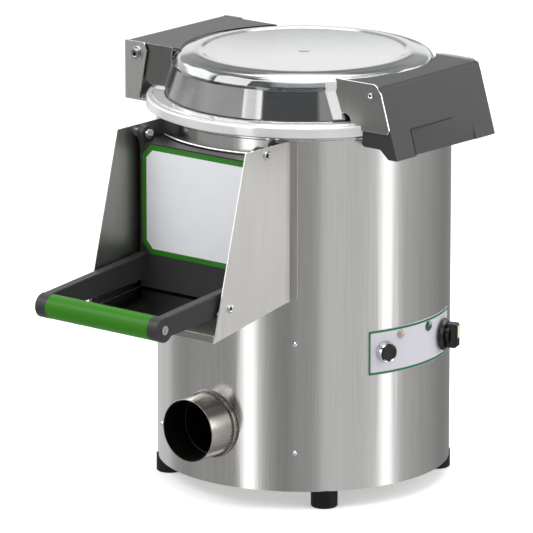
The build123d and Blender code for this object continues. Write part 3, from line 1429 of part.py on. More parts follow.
def lid_handle():
    """Moulded grip box on the lid: top, front with a finger recess, and two sides."""
    half = PLATE_Y - PLATE_T - SEAM
    ceiling = BOX_TOP - BOX_WALL
    back = BOX_WALL + RECESS_DEPTH
    under = BOX_LOW - BITE
    edge = RECESS_TOP + RECESS_EDGE
    hollow = [(0, ceiling), (front_x(ceiling, BOX_WALL), ceiling), (front_x(0, BOX_WALL), 0), (0, 0)]
    wall = [(front_x(edge, back), edge), (front_x(edge, BITE), edge), (front_x(BOX_LOW, BITE), BOX_LOW)]
    wall += [(front_x(BOX_LOW, back), BOX_LOW)]
    pocket = [(front_x(RECESS_TOP, RECESS_DEPTH - RECESS_SLANT), RECESS_TOP), (FAR, RECESS_TOP)]
    pocket += [(FAR, under), (front_x(under, RECESS_DEPTH), under)]
    body = handle_body(half)
    box = body - cut_y(hollow, -half + BOX_WALL, half - BOX_WALL)
    box += run_out(cut_y(wall, -RECESS_HALF - BOX_WALL, RECESS_HALF + BOX_WALL)) & body
    box += magnet_block(MAGNET_X + MAGNET_SIZE[0], front_x(MAGNET_Z, back))
    box -= run_out(cut_y(pocket, -RECESS_HALF, RECESS_HALF)) + lid_space(TAB_GAP)
    for side in (-1, 1):
        box -= y_hole(HANDLE_SCREW_R + SEAM, side, HANDLE_SCREW_X, HANDLE_SCREW_Z)
    return largest(box)


def magnet_block(x_low, x_high):
    """Block as wide and high as the magnet, between two X values."""
    x, y, z = MAGNET_SIZE
    return block(x_low, x_high, -y / 2, y / 2, MAGNET_Z - z / 2, MAGNET_Z + z / 2)


def lid_magnet():
    """Magnet in the handle that tells the sensor the lid is shut."""
    return magnet_block(MAGNET_X, MAGNET_X + MAGNET_SIZE[0])


def lid_sensor():
    """Reed sensor behind the drum wall, facing the magnet."""
    x, y, z = SENSOR_SIZE
    high = sqrt(DRUM_IN**2 - (y / 2) ** 2) - SEAM
    return block(high - x, high, -y / 2, y / 2, MAGNET_Z - z / 2, MAGNET_Z + z / 2)


def lid_handle_screws():
    """Screws through the side plates into the handle box."""
    screws = []
    for side in (-1, 1):
        place = (HANDLE_SCREW_X, HANDLE_SCREW_Z)
        head = y_pin(HANDLE_SCREW_HEAD_R, *side_span(side, PLATE_Y, PLATE_Y + HANDLE_SCREW_HEAD_H), *place)
        shank = y_pin(HANDLE_SCREW_R, *side_span(side, PLATE_Y - PLATE_T - HANDLE_SCREW_L, PLATE_Y), *place)
        screws.append(head + shank)
    return group(screws)


# ---------------------------------------------------------------- lid hinge


def hinge_bracket():
    """Fixed bracket: shelf and apron on the drum, low back plate and two tapered uprights."""
    back_x, top = HINGE_BACK_X, FRAME_TOP + BRACKET_PROUD
    body = block(back_x, -DRUM_R / 2, -BRACKET_Y, BRACKET_Y, SHELF_Z, SHELF_Z + SHELF_T)
    body += block(back_x, back_x + BRACKET_PLATE_T, -BRACKET_Y, BRACKET_Y, SHELF_Z, BACK_TOP)
    outline = [
        (back_x, top),
        (-(DRUM_R - BRACKET_TOP_IN), top),
        (-(DRUM_R - BRACKET_SHOULDER_IN), HINGE_Z + BRACKET_SHOULDER_LIFT),
        (-(DRUM_R + BRACKET_FOOT_REACH), SHELF_Z),
        (back_x, SHELF_Z),
    ]
    for side in (-1, 1):
        body += cut_y(outline, *side_span(side, BRACKET_Y - BRACKET_PLATE_T, BRACKET_Y))
        body -= y_hole(HINGE_PIN_R + SEAM, side, HINGE_X, HINGE_Z)
    edge = DRUM_R + SEAM
    body -= disc(edge, SHELF_Z, SKY)
    start, end = 270 - APRON_HALF_ANGLE, 270 + APRON_HALF_ANGLE
    body += arc_plate(edge + APRON_T, edge, start, end, SHELF_Z - APRON_H, SHELF_Z + SHELF_T)
    body -= disc(edge + RIM_BEAD, DRUM_TOP - RIM_BEAD_H - SEAM, SKY)
    for bearing, z in apron_screw_places():
        body -= out_pin(bearing, z, DOME_SHANK_R + SEAM, 0, FAR)
    return largest(body)


def hinge_frame():
    """Channel on the lid that turns on the hinge bolts: top plate, two sides and wall tabs."""
    outline = [
        (FRAME_BACK_X, FRAME_TOP),
        (-FRAME_IN, FRAME_TOP),
        (-FRAME_IN, LID_BASE_Z + FRAME_FOOT_LIFT),
        (-(DRUM_R - FRAME_FOOT_IN), LID_BASE_Z + FRAME_FOOT_LIFT),
        (HINGE_BACK_X + FRAME_HIP_IN, LID_BASE_Z + FRAME_HIP_LIFT),
        (FRAME_BACK_X, LID_BASE_Z + FRAME_BACK_LIFT),
    ]
    frame = block(FRAME_BACK_X, -FRAME_IN, -FRAME_OUT, FRAME_OUT, FRAME_TOP - FRAME_T, FRAME_TOP)
    for side in (-1, 1):
        frame += cut_y(outline, *side_span(side, FRAME_IN, FRAME_OUT))
    frame = largest(frame - lid_space(TAB_GAP))
    for side in (-1, 1):
        frame += wall_tab(-1, side, FRAME_IN, FRAME_OUT + TAB_W)
        frame -= y_hole(HINGE_PIN_R + RUN, side, HINGE_X, HINGE_Z)
    return largest(frame)


def hinge_bolts():
    """Two hinge bolts, each with a wide washer outside and a nut inside."""
    bolts = []
    end, seat = HINGE_NUT_SEAT - HINGE_NUT_T, BRACKET_Y + WASHER_T
    for side in (-1, 1):
        bolt = y_pin(WASHER_R, *side_span(side, BRACKET_Y, seat), HINGE_X, HINGE_Z)
        bolt += y_pin(HINGE_HEAD_R, *side_span(side, seat, seat + HINGE_HEAD_H), HINGE_X, HINGE_Z)
        bolt += y_pin(HINGE_PIN_R, *side_span(side, end, BRACKET_Y), HINGE_X, HINGE_Z)
        bolts.append(bolt + y_pin(HINGE_NUT_R, *side_span(side, end, HINGE_NUT_SEAT), HINGE_X, HINGE_Z))
    return group(bolts)


# ---------------------------------------------------------------- all pieces


def all_parts():
    """Every node of the machine by name."""
    parts = {}
    parts["cheek_left"], parts["cheek_right"] = both_sides(cheek)
    parts["door_arm_left"], parts["door_arm_right"] = both_sides(door_arm)
    parts["lid_side_plate_front"], parts["lid_side_plate_rear"] = both_sides(lid_side_plate)
    parts["lamp_amber"] = lamp_lens(AMBER_BEARING, AMBER_R)
    parts["lamp_green"] = lamp_lens(GREEN_BEARING, GREEN_R)
    makers = [
        drum_casing, feet, foot_screws, base_plate, struts, dome_screws, chamber_deck, chamber_liner,
        abrasive_disc, peeling_disc, drive_shaft, disc_nut, bearing_housing, housing_bolts, shaft_seal,
        ball_bearings, driven_pulley, motor_pulley, drive_belt, motor_posts, motor_bracket, motor,
        motor_shaft, terminal_box, drain_pipe, water_inlet, cable_gland, control_label, button_bezel,
        push_button, button_switch, timer_knob, timer_body, chute_floor, chute_screws, door_panel,
        door_liner, door_gasket, door_label, handle_tube, handle_grip, handle_screws, door_pivots,
        lid_shell, lid_gasket, lid_handle, lid_magnet, lid_sensor, lid_handle_screws, hinge_bracket,
        hinge_frame, hinge_bolts,
    ]
    for maker in makers:
        parts[maker.__name__] = maker()
    return parts


for name, shape in all_parts().items():
    export_step(shape, f"parts/{name}.step")
    print(name, len(shape.solids()), round(shape.volume))
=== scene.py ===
import json
import logging
import math
from dataclasses import dataclass
from enum import Enum
from itertools import takewhile
from typing import Callable, Optional, Sequence

import bmesh
import bpy
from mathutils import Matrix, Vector


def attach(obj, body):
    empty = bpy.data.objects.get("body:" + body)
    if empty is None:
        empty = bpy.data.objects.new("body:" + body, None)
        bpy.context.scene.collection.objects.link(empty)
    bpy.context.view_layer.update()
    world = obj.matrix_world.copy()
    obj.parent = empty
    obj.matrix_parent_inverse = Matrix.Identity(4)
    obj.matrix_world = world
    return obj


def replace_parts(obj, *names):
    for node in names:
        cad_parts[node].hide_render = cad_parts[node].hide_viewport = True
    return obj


LOG = logging.getLogger("potato_peeler")
MM = 0.001

# A place in the frame, a place in an outline, a map from an outline to the frame, and a choice of faces.
Point = tuple[float, float, float]
Flat = tuple[float, float]
Placing = Callable[[float, float, float], Point]
Choice = Callable[[Vector, Vector], bool]

# The middle stretch of a noise, which tone and gloss follow, and how far gloss goes either way.
NOISE_SPAN: Flat = (0.3, 0.7)
GLOSS_SPAN: Flat = (0.9, 1.12)
RELIEF_STRENGTH = 0.5
# Scale of a brushed pattern along its lines, which makes them far longer than they are wide.
BRUSH_SCALE = 0.012
# Copies of CAD meshes: points merged, facets joined as flat, and the sharpest edge that shades smooth.
MERGE_MM = 0.01
FLAT_DEG = 0.5
SMOOTH_DEG = 50.0
# Cosine beyond which a face looks straight along an axis.
SQUARE_ON = 0.9


# ------------------------------------------------------------------ colour and node helpers


def linear(code: str) -> tuple[float, float, float, float]:
    """Turns an sRGB hex code into a linear colour.

    Args:
        code: six hex digits, with or without a leading #.

    Returns:
        Red, green, blue and an alpha of 1.
    """
    digits = code.lstrip("#")
    values = [int(digits[n:n + 2], 16) / 255.0 for n in (0, 2, 4)]
    channels = [v / 12.92 if v <= 0.04045 else ((v + 0.055) / 1.055) ** 2.4 for v in values]
    return (channels[0], channels[1], channels[2], 1.0)


def shade(code: str, factor: float) -> tuple[float, float, float, float]:
    """Returns a linear colour made lighter or darker.

    Args:
        code: six hex digits.
        factor: multiplies each channel.

    Returns:
        The colour, each channel at most 1.
    """
    red, green, blue, alpha = linear(code)
    return (min(red * factor, 1.0), min(green * factor, 1.0), min(blue * factor, 1.0), alpha)


def add_node(tree: bpy.types.NodeTree, kind: str, **settings: object) -> bpy.types.Node:
    """Adds a shader node and sets its properties and inputs by name.

    Args:
        tree: the node tree.
        kind: the node's type, without the word ShaderNode.
        settings: node properties, or inputs with spaces written as underscores, or in_0 for an input
            by its index; an output socket is linked.

    Returns:
        The new node.
    """
    node = tree.nodes.new("ShaderNode" + kind)
    for key, value in settings.items():
        if hasattr(node, key) and not isinstance(value, bpy.types.NodeSocket):
            setattr(node, key, value)
            continue
        socket = node.inputs[int(key[3:])] if key.startswith("in_") else node.inputs[key.replace("_", " ")]
        if isinstance(value, bpy.types.NodeSocket):
            tree.links.new(value, socket)
        else:
            socket.default_value = value
    return node


class Grain(Enum):
    """Direction that a brushed surface's lines run in, as a scale for each axis."""

    UPRIGHT = (1.0, 1.0, BRUSH_SCALE)
    ALONG_X = (BRUSH_SCALE, 1.0, 1.0)
    ALONG_Y = (1.0, BRUSH_SCALE, 1.0)
    EVEN = (1.0, 1.0, 1.0)


# ------------------------------------------------------------------ kinds of finish


@dataclass(frozen=True)
class Finish:
    """A surface finish: a named material with a fine cloud of tone and gloss."""

    name: str
    colour: str
    roughness: float
    metallic: float = 0.0
    coat: float = 0.0
    specular: float = 0.25
    cell_mm: float = 2.0
    contrast: float = 0.04
    relief_mm: float = 0.0
    grain: Grain = Grain.EVEN

    def build(self) -> bpy.types.Material:
        """Makes the material, or returns the one already made."""
        made = bpy.data.materials.get(self.name)
        if made:
            return made
        material = bpy.data.materials.new(self.name)
        material.use_nodes = True
        tree = material.node_tree
        shader = tree.nodes["Principled BSDF"]
        shader.inputs["Base Color"].default_value = linear(self.colour)
        shader.inputs["Roughness"].default_value = self.roughness
        shader.inputs["Metallic"].default_value = self.metallic
        shader.inputs["Coat Weight"].default_value = self.coat
        shader.inputs["Specular IOR Level"].default_value = self.specular
        self.dress(tree, shader)
        return material

    def dress(self, tree: bpy.types.NodeTree, shader: bpy.types.Node) -> None:
        """Adds the pattern: tone, gloss and relief from one noise."""
        noise = self.cloud(tree, self.cell_mm, detail=3.0)
        self.tone(tree, shader, noise)
        self.gloss(tree, shader, noise)
        if self.relief_mm:
            self.relief(tree, shader, noise, self.relief_mm)

    def cells(self, tree: bpy.types.NodeTree, size_mm: float) -> bpy.types.NodeSocket:
        """Object coordinates in which one unit is one pattern cell, stretched along the grain."""
        scale = tuple(axis / (size_mm * MM) for axis in self.grain.value)
        coords = add_node(tree, "TexCoord")
        return add_node(tree, "Mapping", Vector=coords.outputs["Object"], Scale=scale).outputs["Vector"]

    def cloud(self, tree: bpy.types.NodeTree, size_mm: float, detail: float) -> bpy.types.NodeSocket:
        """A soft cloud, from 0 to 1, whose cells have a real size."""
        node = add_node(tree, "TexNoise", Vector=self.cells(tree, size_mm), Scale=1.0, Detail=detail)
        return node.outputs["Fac"]

    def tone(self, tree: bpy.types.NodeTree, shader: bpy.types.Node, value: bpy.types.NodeSocket) -> None:
        """Varies the base colour by the contrast."""
        ramp = add_node(tree, "ValToRGB", Fac=value)
        low, high = ramp.color_ramp.elements
        low.position, high.position = NOISE_SPAN
        low.color = shade(self.colour, 1.0 - self.contrast)
        high.color = shade(self.colour, 1.0 + self.contrast)
        tree.links.new(ramp.outputs["Color"], shader.inputs["Base Color"])

    def gloss(self, tree: bpy.types.NodeTree, shader: bpy.types.Node, value: bpy.types.NodeSocket) -> None:
        """Varies the roughness a little."""
        low, high = NOISE_SPAN
        least, most = (self.roughness * share for share in GLOSS_SPAN)
        spread = add_node(tree, "MapRange", Value=value, From_Min=low, From_Max=high, To_Min=least,
                          To_Max=most)
        tree.links.new(spread.outputs["Result"], shader.inputs["Roughness"])

    def relief(self, tree: bpy.types.NodeTree, shader: bpy.types.Node, value: bpy.types.NodeSocket,
               depth_mm: float) -> None:
        """Feeds a height pattern to the shader's normal."""
        bump = add_node(tree, "Bump", Strength=RELIEF_STRENGTH, Distance=depth_mm * MM, Height=value)
        tree.links.new(bump.outputs["Normal"], shader.inputs["Normal"])


@dataclass(frozen=True)
class BrushedSteel(Finish):
    """Sheet steel with brush lines: fine streaks in tone and gloss over wide, faint bands."""

    metallic: float = 1.0
    specular: float = 0.5
    cell_mm: float = 1.3
    contrast: float = 0.05
    relief_mm: float = 0.004
    grain: Grain = Grain.UPRIGHT
    band_cells: float = 14.0
    band_depth: float = 0.12

    def dress(self, tree: bpy.types.NodeTree, shader: bpy.types.Node) -> None:
        """Adds streaks to tone, gloss and relief, and bands to tone alone."""
        streaks = self.cloud(tree, self.cell_mm, detail=4.0)
        bands = self.cloud(tree, self.cell_mm * self.band_cells, detail=2.0)
        blend = add_node(tree, "MapRange", Value=bands, To_Min=-self.band_depth, To_Max=self.band_depth)
        both = add_node(tree, "Math", operation="ADD", in_0=streaks, in_1=blend.outputs["Result"])
        self.tone(tree, shader, both.outputs["Value"])
        self.gloss(tree, shader, streaks)
        self.relief(tree, shader, streaks, self.relief_mm)


@dataclass(frozen=True)
class TurnedMetal(Finish):
    """Lathe-turned or plated metal with fine rings that stretch its highlight."""

    metallic: float = 1.0
    specular: float = 0.5
    cell_mm: float = 0.5
    anisotropy: float = 0.4

    def dress(self, tree: bpy.types.NodeTree, shader: bpy.types.Node) -> None:
        """Stretches the highlight over the common pattern."""
        super().dress(tree, shader)
        shader.inputs["Anisotropic"].default_value = self.anisotropy


@dataclass(frozen=True)
class BondedGrit(Finish):
    """Abrasive grains set in resin: pebbles that differ in tone and stand up."""

    cell_mm: float = 1.5
    contrast: float = 0.25
    relief_mm: float = 0.5

    def dress(self, tree: bpy.types.NodeTree, shader: bpy.types.Node) -> None:
        """Adds a pebble in each cell, in tone and in relief."""
        pebbles = add_node(tree, "TexVoronoi", Vector=self.cells(tree, self.cell_mm), Scale=1.0)
        top = add_node(tree, "Math", operation="SUBTRACT", in_0=1.0, in_1=pebbles.outputs["Distance"])
        self.tone(tree, shader, top.outputs["Value"])
        self.relief(tree, shader, top.outputs["Value"], self.relief_mm)


@dataclass(frozen=True)
class ClearMoulding(Finish):
    """Hard-coated clear polycarbonate: refracts, mirrors the lights, and may carry some haze."""

    coat: float = 1.0
    specular: float = 0.5
    relief_mm: float = 0.01
    haze: float = 0.0
    index: float = 1.5
    coat_index: float = 2.0
    swirl: float = 0.0

    def dress(self, tree: bpy.types.NodeTree, shader: bpy.types.Node) -> None:
        """Adds flow waves, clearness and coat, and the swirl of a spun mould if there is one."""
        flow = self.cloud(tree, self.cell_mm, detail=2.0)
        self.gloss(tree, shader, flow)
        self.relief(tree, shader, flow, self.relief_mm)
        shader.inputs["Transmission Weight"].default_value = 1.0 - self.haze
        shader.inputs["IOR"].default_value = self.index
        shader.inputs["Coat IOR"].default_value = self.coat_index
        shader.inputs["Coat Roughness"].default_value = self.roughness
        if self.swirl:
            shader.inputs["Anisotropic"].default_value = self.swirl
            tangent = add_node(tree, "Tangent", direction_type="RADIAL", axis="Z")
            tree.links.new(tangent.outputs["Tangent"], shader.inputs["Tangent"])


@dataclass(frozen=True)
class Lens(Finish):
    """Tinted lamp lens: deeper at its middle, with a glassy coat."""

    coat: float = 1.0
    relief_mm: float = 0.02
    painted_glow: float = 0.0
    falloff: float = 0.4

    def dress(self, tree: bpy.types.NodeTree, shader: bpy.types.Node) -> None:
        """Adds the deeper middle, a faint ripple and any painted glow."""
        edge = add_node(tree, "LayerWeight", Blend=self.falloff)
        self.tone(tree, shader, edge.outputs["Facing"])
        self.relief(tree, shader, self.cloud(tree, self.cell_mm, detail=1.0), self.relief_mm)
        shader.inputs["Emission Color"].default_value = linear(self.colour)
        shader.inputs["Emission Strength"].default_value = self.painted_glow


# ------------------------------------------------------------------ finishes

# Upright brush lines with crisp, tall highlights, as on the rolled drum.
DRUM_STEEL = BrushedSteel("stainless_drum_brushed_upright", "#CBCAC8", 0.17)
# Flat sheet, softer and paler, so that the chute's right cheek reads as satin.
CHEEK_STEEL = BrushedSteel("stainless_sheet_satin_brushed", "#D8D6D2", 0.40, contrast=0.04)
# The left cheek's sheet, duller: its darker colour is painted shade, so that it darkens towards the door.
SHADED_CHEEK_STEEL = BrushedSteel("stainless_sheet_painted_shade", "#A3A19D", 0.38, contrast=0.05)
# Smooth sheet that mirrors the dark door over it.
TRAY_STEEL = BrushedSteel("stainless_tray_mill_finish", "#A5A29D", 0.16, grain=Grain.ALONG_Y)
# Unpolished sheet of the base and the deck: a flat, even grey.
SHEET_STEEL = BrushedSteel("stainless_sheet_mill_finish", "#B0AEAA", 0.34, grain=Grain.ALONG_X)
# Thick plate with very fine vertical brushing, a mid grey beside the bright edges.
PLATE_STEEL = BrushedSteel("stainless_plate_fine_brushed", "#8D8C8A", 0.34, cell_mm=0.8, contrast=0.06)
# The hinge's sides, brushed the same way and a little darker.
HINGE_STEEL = BrushedSteel("stainless_hinge_brushed", "#7C7B79", 0.30, cell_mm=0.9, contrast=0.07)
# The hinge's plate where it lies flat: much darker, a painted shade on its top.
HINGE_TOP_SHADED_STEEL = BrushedSteel("stainless_hinge_top_painted_shade", "#343433", 0.30, metallic=0.4, specular=0.2,
                               contrast=0.16)
# Laser-cut bracket, brushed upright and left lighter than the hinge.
BRACKET_STEEL = BrushedSteel("stainless_bracket_brushed", "#C2C1BF", 0.34, contrast=0.07)
# Flange welded flat on the drum and scoured with it: soft, so that its edge doesn't flash.
LAP_STEEL = BrushedSteel("stainless_weld_flange_scoured", "#B4B2AF", 0.45, contrast=0.10)
# Shorn and polished edge of a plate, painted near white: a painted highlight for the thin bright line it
# catches.
EDGE_HIGHLIGHT_STEEL = TurnedMetal("stainless_edge_painted_highlight", "#F2F2F0", 0.30, metallic=0.65)
# Drawn tube with lines along its length and one bright streak.
TUBE_STEEL = BrushedSteel("stainless_tube_drawn", "#C4BFBA", 0.25, grain=Grain.ALONG_Y, contrast=0.03)
# Inside of the drain, painted dark for the shade inside the pipe, so that it goes black.
PIPE_SHADE_STEEL = BrushedSteel("stainless_pipe_painted_shade", "#4A4744", 0.45, grain=Grain.ALONG_Y, contrast=0.15)
# Fused metal, wavy and a little heat-tinted.
WELD_STEEL = TurnedMetal("stainless_weld_bead", "#8A837C", 0.34, cell_mm=1.6, relief_mm=0.06)
# Bright turned rings, nuts, shafts and screw heads.
BRIGHT = TurnedMetal("bright_turned_steel", "#D0D0D2", 0.16)
# Dull grey plating on hidden fasteners and struts.
ZINC = TurnedMetal("zinc_plated_steel", "#A3A6A8", 0.34, cell_mm=3.0, contrast=0.10)
# Darkened cap screws, which stand out against their bright washers.
DARK_BOLT = TurnedMetal("oiled_steel_cap_screw", "#8E8E8F", 0.30, contrast=0.10)
# Painted shade inside a socket: its shadow as a dark colour.
RECESS = Finish("socket_painted_shade", "#1C1C1E", 0.6)
# Pebbled casting with a broad, soft shine.
ALUMINIUM = Finish("sand_cast_aluminium", "#A9ABAD", 0.48, 1.0, cell_mm=3.0, relief_mm=0.3)
# Dark iron with fine tool marks.
IRON = Finish("machined_cast_iron", "#4A4A4C", 0.42, 1.0, cell_mm=1.2, relief_mm=0.1)
# Thick enamel over the motor's casting, slightly pooled.
MOTOR_PAINT = Finish("satin_enamel_on_iron", "#3B4048", 0.42, coat=0.2, cell_mm=4.0, relief_mm=0.1)
# The lid's handle, whose spark-eroded grain breaks up the highlight.
HANDLE_PLASTIC = Finish("charcoal_handle_moulding", "#323233", 0.48, cell_mm=0.7, contrast=0.08,
                        relief_mm=0.05)
# The door's moulding, with the same grain and a little more gloss.
DOOR_PLASTIC = Finish("charcoal_door_moulding", "#2F2F30", 0.42, cell_mm=0.7, contrast=0.08, relief_mm=0.05)
# Plain mid-grey housings inside.
GREY_PLASTIC = Finish("grey_housing_plastic", "#7E8083", 0.5, cell_mm=0.7, contrast=0.06, relief_mm=0.05)
# Smooth black moulding of the knob and the button.
BLACK_PLASTIC = Finish("black_satin_plastic", "#090909", 0.32, coat=0.08, cell_mm=0.5, contrast=0.1,
                       relief_mm=0.01)
# Soft green sleeve of the handle.
GREEN_SLEEVE = Finish("green_grip_sleeve", "#286E02", 0.42, coat=0.04, specular=0.2,
                      cell_mm=0.9, contrast=0.07, relief_mm=0.02)
# Rubber, dull with a bloom.
RUBBER = Finish("black_moulded_rubber", "#070707", 0.62, cell_mm=1.0, contrast=0.15, relief_mm=0.06)
# Dark seal lips and the belt.
SEAL = Finish("grey_seal_rubber", "#3C3D3E", 0.55, cell_mm=1.0, contrast=0.1, relief_mm=0.03)
# Pale seal that lights the clear rim over it.
SILICONE = Finish("white_silicone_extrusion", "#E4E4E2", 0.5, cell_mm=2.0, contrast=0.03, relief_mm=0.02)
# Thin line of sealant where the lid's wall meets its flange.
SEALANT = Finish("russet_sealant_line", "#5C4441", 0.4, cell_mm=1.0, contrast=0.1)
# Coarse grit of the disc and the door, and the finer grit of the drum's lining.
GRIT = BondedGrit("bonded_abrasive_grit", "#55575A", 0.7)
LINER_GRIT = BondedGrit("bonded_liner_grit", "#4C4D4F", 0.75, cell_mm=0.9, contrast=0.12)
# The lid's wall, clear and hard-edged in its reflections.
CLEAR = ClearMoulding("polycarbonate_clear", "#AEB3B6", 0.03, cell_mm=20.0, haze=0.01)
# The lid's dish, satin, with a sheen that fans out from its middle.
DISH_CLEAR = ClearMoulding("polycarbonate_satin_dish", "#E4E6E6", 0.12, cell_mm=4.0, haze=0.19, swirl=0.6)
# The lid's flange, scuffed until it is milky.
FLANGE_CLEAR = ClearMoulding("polycarbonate_hazy_flange", "#F4F5F4", 0.08, cell_mm=8.0, haze=0.60)
# Printed films of the door's label and the panel: smooth, faintly rippled by their adhesive.
LABEL_WHITE = Finish("printed_film_pale", "#DCDDE2", 0.38, coat=0.3, cell_mm=30.0, contrast=0.015)
LABEL_GREEN = Finish("printed_film_green", "#277019", 0.36, coat=0.3, cell_mm=30.0, contrast=0.03)
PANEL_GREY = Finish("panel_film_lilac_grey", "#CBC9D2", 0.36, coat=0.3, cell_mm=20.0, contrast=0.015)
PANEL_GREEN = Finish("panel_film_deep_green", "#1E6B40", 0.36, coat=0.3, cell_mm=20.0, contrast=0.03)
# Lamp lenses that are off: pale amber and a green that is nearly black.
AMBER = Lens("pale_amber_lens", "#CDB9A4", 0.2, contrast=0.35)
TEAL = Lens("dark_green_lens", "#0B5148", 0.15, contrast=0.4)
# The knob's mark, pale, with a painted glow that makes it brighter than the light on it.
GLOWING_INLAY = Lens("pale_inlay_painted_glow", "#CFE8B0", 0.4, contrast=0.05, painted_glow=0.12)
# Plain white floor under the machine.
FLOOR = Finish("white_studio_floor", "#F4F4F4", 0.9, specular=0.0)

CAD_FINISHES: dict[Finish, tuple[str, ...]] = {
    DRUM_STEEL: ("drum_casing",),
    SHEET_STEEL: ("base_plate", "chamber_deck"),
    RUBBER: ("feet",),
    ZINC: ("foot_screws", "struts", "housing_bolts", "motor_posts", "motor_bracket", "lid_magnet"),
    BRIGHT: ("drive_shaft", "disc_nut", "ball_bearings", "motor_shaft", "water_inlet", "button_bezel",
             "handle_tube", "handle_screws"),
    ALUMINIUM: ("peeling_disc", "bearing_housing"),
    IRON: ("driven_pulley", "motor_pulley"),
    MOTOR_PAINT: ("motor",),
    GREY_PLASTIC: ("terminal_box", "timer_body"),
    BLACK_PLASTIC: ("cable_gland", "push_button", "button_switch", "timer_knob", "lid_sensor"),
    SEAL: ("shaft_seal", "drive_belt", "door_gasket"),
    GRIT: ("abrasive_disc", "door_liner"),
    LINER_GRIT: ("chamber_liner",),
    PANEL_GREY: ("control_label",),
    AMBER: ("lamp_amber",),
    TEAL: ("lamp_green",),
    GREEN_SLEEVE: ("handle_grip",),
    SILICONE: ("lid_gasket",),
}


# ------------------------------------------------------------------ mesh helpers


def link_mesh(name: str, build: bmesh.types.BMesh, finishes: Sequence[Finish],
              smooth_deg: float = 35.0) -> bpy.types.Object:
    """Turns a bmesh into a linked object.

    Args:
        name: the object's name.
        build: the mesh, which is freed.
        finishes: a finish for each material index.
        smooth_deg: edges sharper than this stay sharp.

    Returns:
        The object.
    """
    bmesh.ops.recalc_face_normals(build, faces=build.faces)
    for face in build.faces:
        face.smooth = True
    for edge in build.edges:
        edge.smooth = edge.calc_face_angle(0.0) < math.radians(smooth_deg)
    mesh = bpy.data.meshes.new(name)
    build.to_mesh(mesh)
    build.free()
    for finish in finishes:
        mesh.materials.append(finish.build())
    piece = bpy.data.objects.new(name, mesh)
    bpy.context.scene.collection.objects.link(piece)
    return piece


def facing_front(u: float, v: float, w: float) -> Point:
    """Maps across, up and towards the front to the frame."""
    return (u, -w, v)


def standing_across(u: float, v: float, w: float) -> Point:
    """Maps an outline seen from the side to the frame."""
    return (u, w, v)


def lying_flat(u: float, v: float, w: float) -> Point:
    """Maps a level outline to the frame."""
    return (u, v, w)


def on_drum(u: float, v: float, w: float) -> Point:
    """Maps a bearing in degrees, a height and a radius to the frame."""
    turn = math.radians(u)
    return (w * math.sin(turn), -w * math.cos(turn), v)


def at_bearing(bearing: float, height: float, radius: float) -> Placing:
    """Sets up a local frame on the drum: u across, v up, w outward.

    Args:
        bearing: where it is round the drum, in degrees from the front.
        height: its height.
        radius: its distance from the drum's axis.

    Returns:
        The placing.
    """
    turn = math.radians(bearing)

    def place(u: float, v: float, w: float) -> Point:
        reach = radius + w
        return (reach * math.sin(turn) + u * math.cos(turn), -reach * math.cos(turn) + u * math.sin(turn),
                height + v)

    return place


def corner_arcs(points: Sequence[Flat], radii: Sequence[float], steps: int = 6) -> list[Flat]:
    """Rounds the corners of a closed outline.

    Args:
        points: the outline's corners.
        radii: a radius for each corner, 0 to keep it sharp.
        steps: segments in each rounded corner.

    Returns:
        The outline with its corners as curves.
    """
    result: list[Flat] = []
    count = len(points)
    for n, (point, radius) in enumerate(zip(points, radii)):
        here = Vector(point)
        if radius <= 0:
            result.append((here.x, here.y))
            continue
        before = Vector(points[n - 1]) - here
        after = Vector(points[(n + 1) % count]) - here
        half = before.angle(after) / 2.0
        # A rounded corner takes just under half of each side, so that two of them never meet.
        reach = min(radius / math.tan(half), 0.49 * before.length, 0.49 * after.length)
        start = here + before.normalized() * reach
        end = here + after.normalized() * reach
        for k in range(steps + 1):
            t = k / steps
            spot = start * (1 - t) ** 2 + here * 2 * t * (1 - t) + end * t * t
            result.append((spot.x, spot.y))
    return result


def circle(steps: int) -> list[float]:
    """Angles, in radians, that go once round in equal steps."""
    return [2 * math.pi * n / steps for n in range(steps)]


def subdivided(points: Sequence[Flat], pieces: int) -> list[Flat]:
    """Splits each side of a closed outline into equal pieces."""
    result: list[Flat] = []
    for n, (x, y) in enumerate(points):
        next_x, next_y = points[(n + 1) % len(points)]
        result += [(x + (next_x - x) * k / pieces, y + (next_y - y) * k / pieces) for k in range(pieces)]
    return result


def revolved(profile: Sequence[Flat], steps: int) -> bmesh.types.BMesh:
    """Revolves a closed profile of radius and height, in millimetres, about the drum's axis.

    Args:
        profile: points of radius and height.
        steps: segments round the axis.

    Returns:
        The mesh, in metres.
    """
    build = bmesh.new()
    rings: list[list[bmesh.types.BMVert]] = []
    for radius, height in profile:
        if radius < 1e-6:
            rings.append([build.verts.new(Vector((0, 0, height)) * MM)] * steps)
            continue
        rings.append([build.verts.new(Vector((radius * math.cos(a), radius * math.sin(a), height)) * MM)
                      for a in circle(steps)])
    for n, low in enumerate(rings):
        high = rings[(n + 1) % len(rings)]
        for k in range(steps):
            corners = [low[k], low[(k + 1) % steps], high[(k + 1) % steps], high[k]]
            unique = list(dict.fromkeys(corners))
            if len(unique) > 2:
                build.faces.new(unique)
    return build


def frame_ring(build: bmesh.types.BMesh, outer: Sequence[Flat], inner: Sequence[Flat], low: float,
               high: float, place: Placing) -> None:
    """Adds a closed ring between two outlines with as many points as each other.

    Args:
        build: the mesh to add to.
        outer: the outer outline.
        inner: the inner outline.
        low: the ring's lower level.
        high: its upper level.
        place: maps the outline and the level to the frame.
    """
    loops = [[build.verts.new(Vector(place(u, v, w)) * MM) for u, v in outline]
             for outline, w in ((outer, low), (outer, high), (inner, high), (inner, low))]
    count = len(outer)
    for n, loop in enumerate(loops):
        above = loops[(n + 1) % 4]
        for k in range(count):
            build.faces.new([loop[k], loop[(k + 1) % count], above[(k + 1) % count], above[k]])


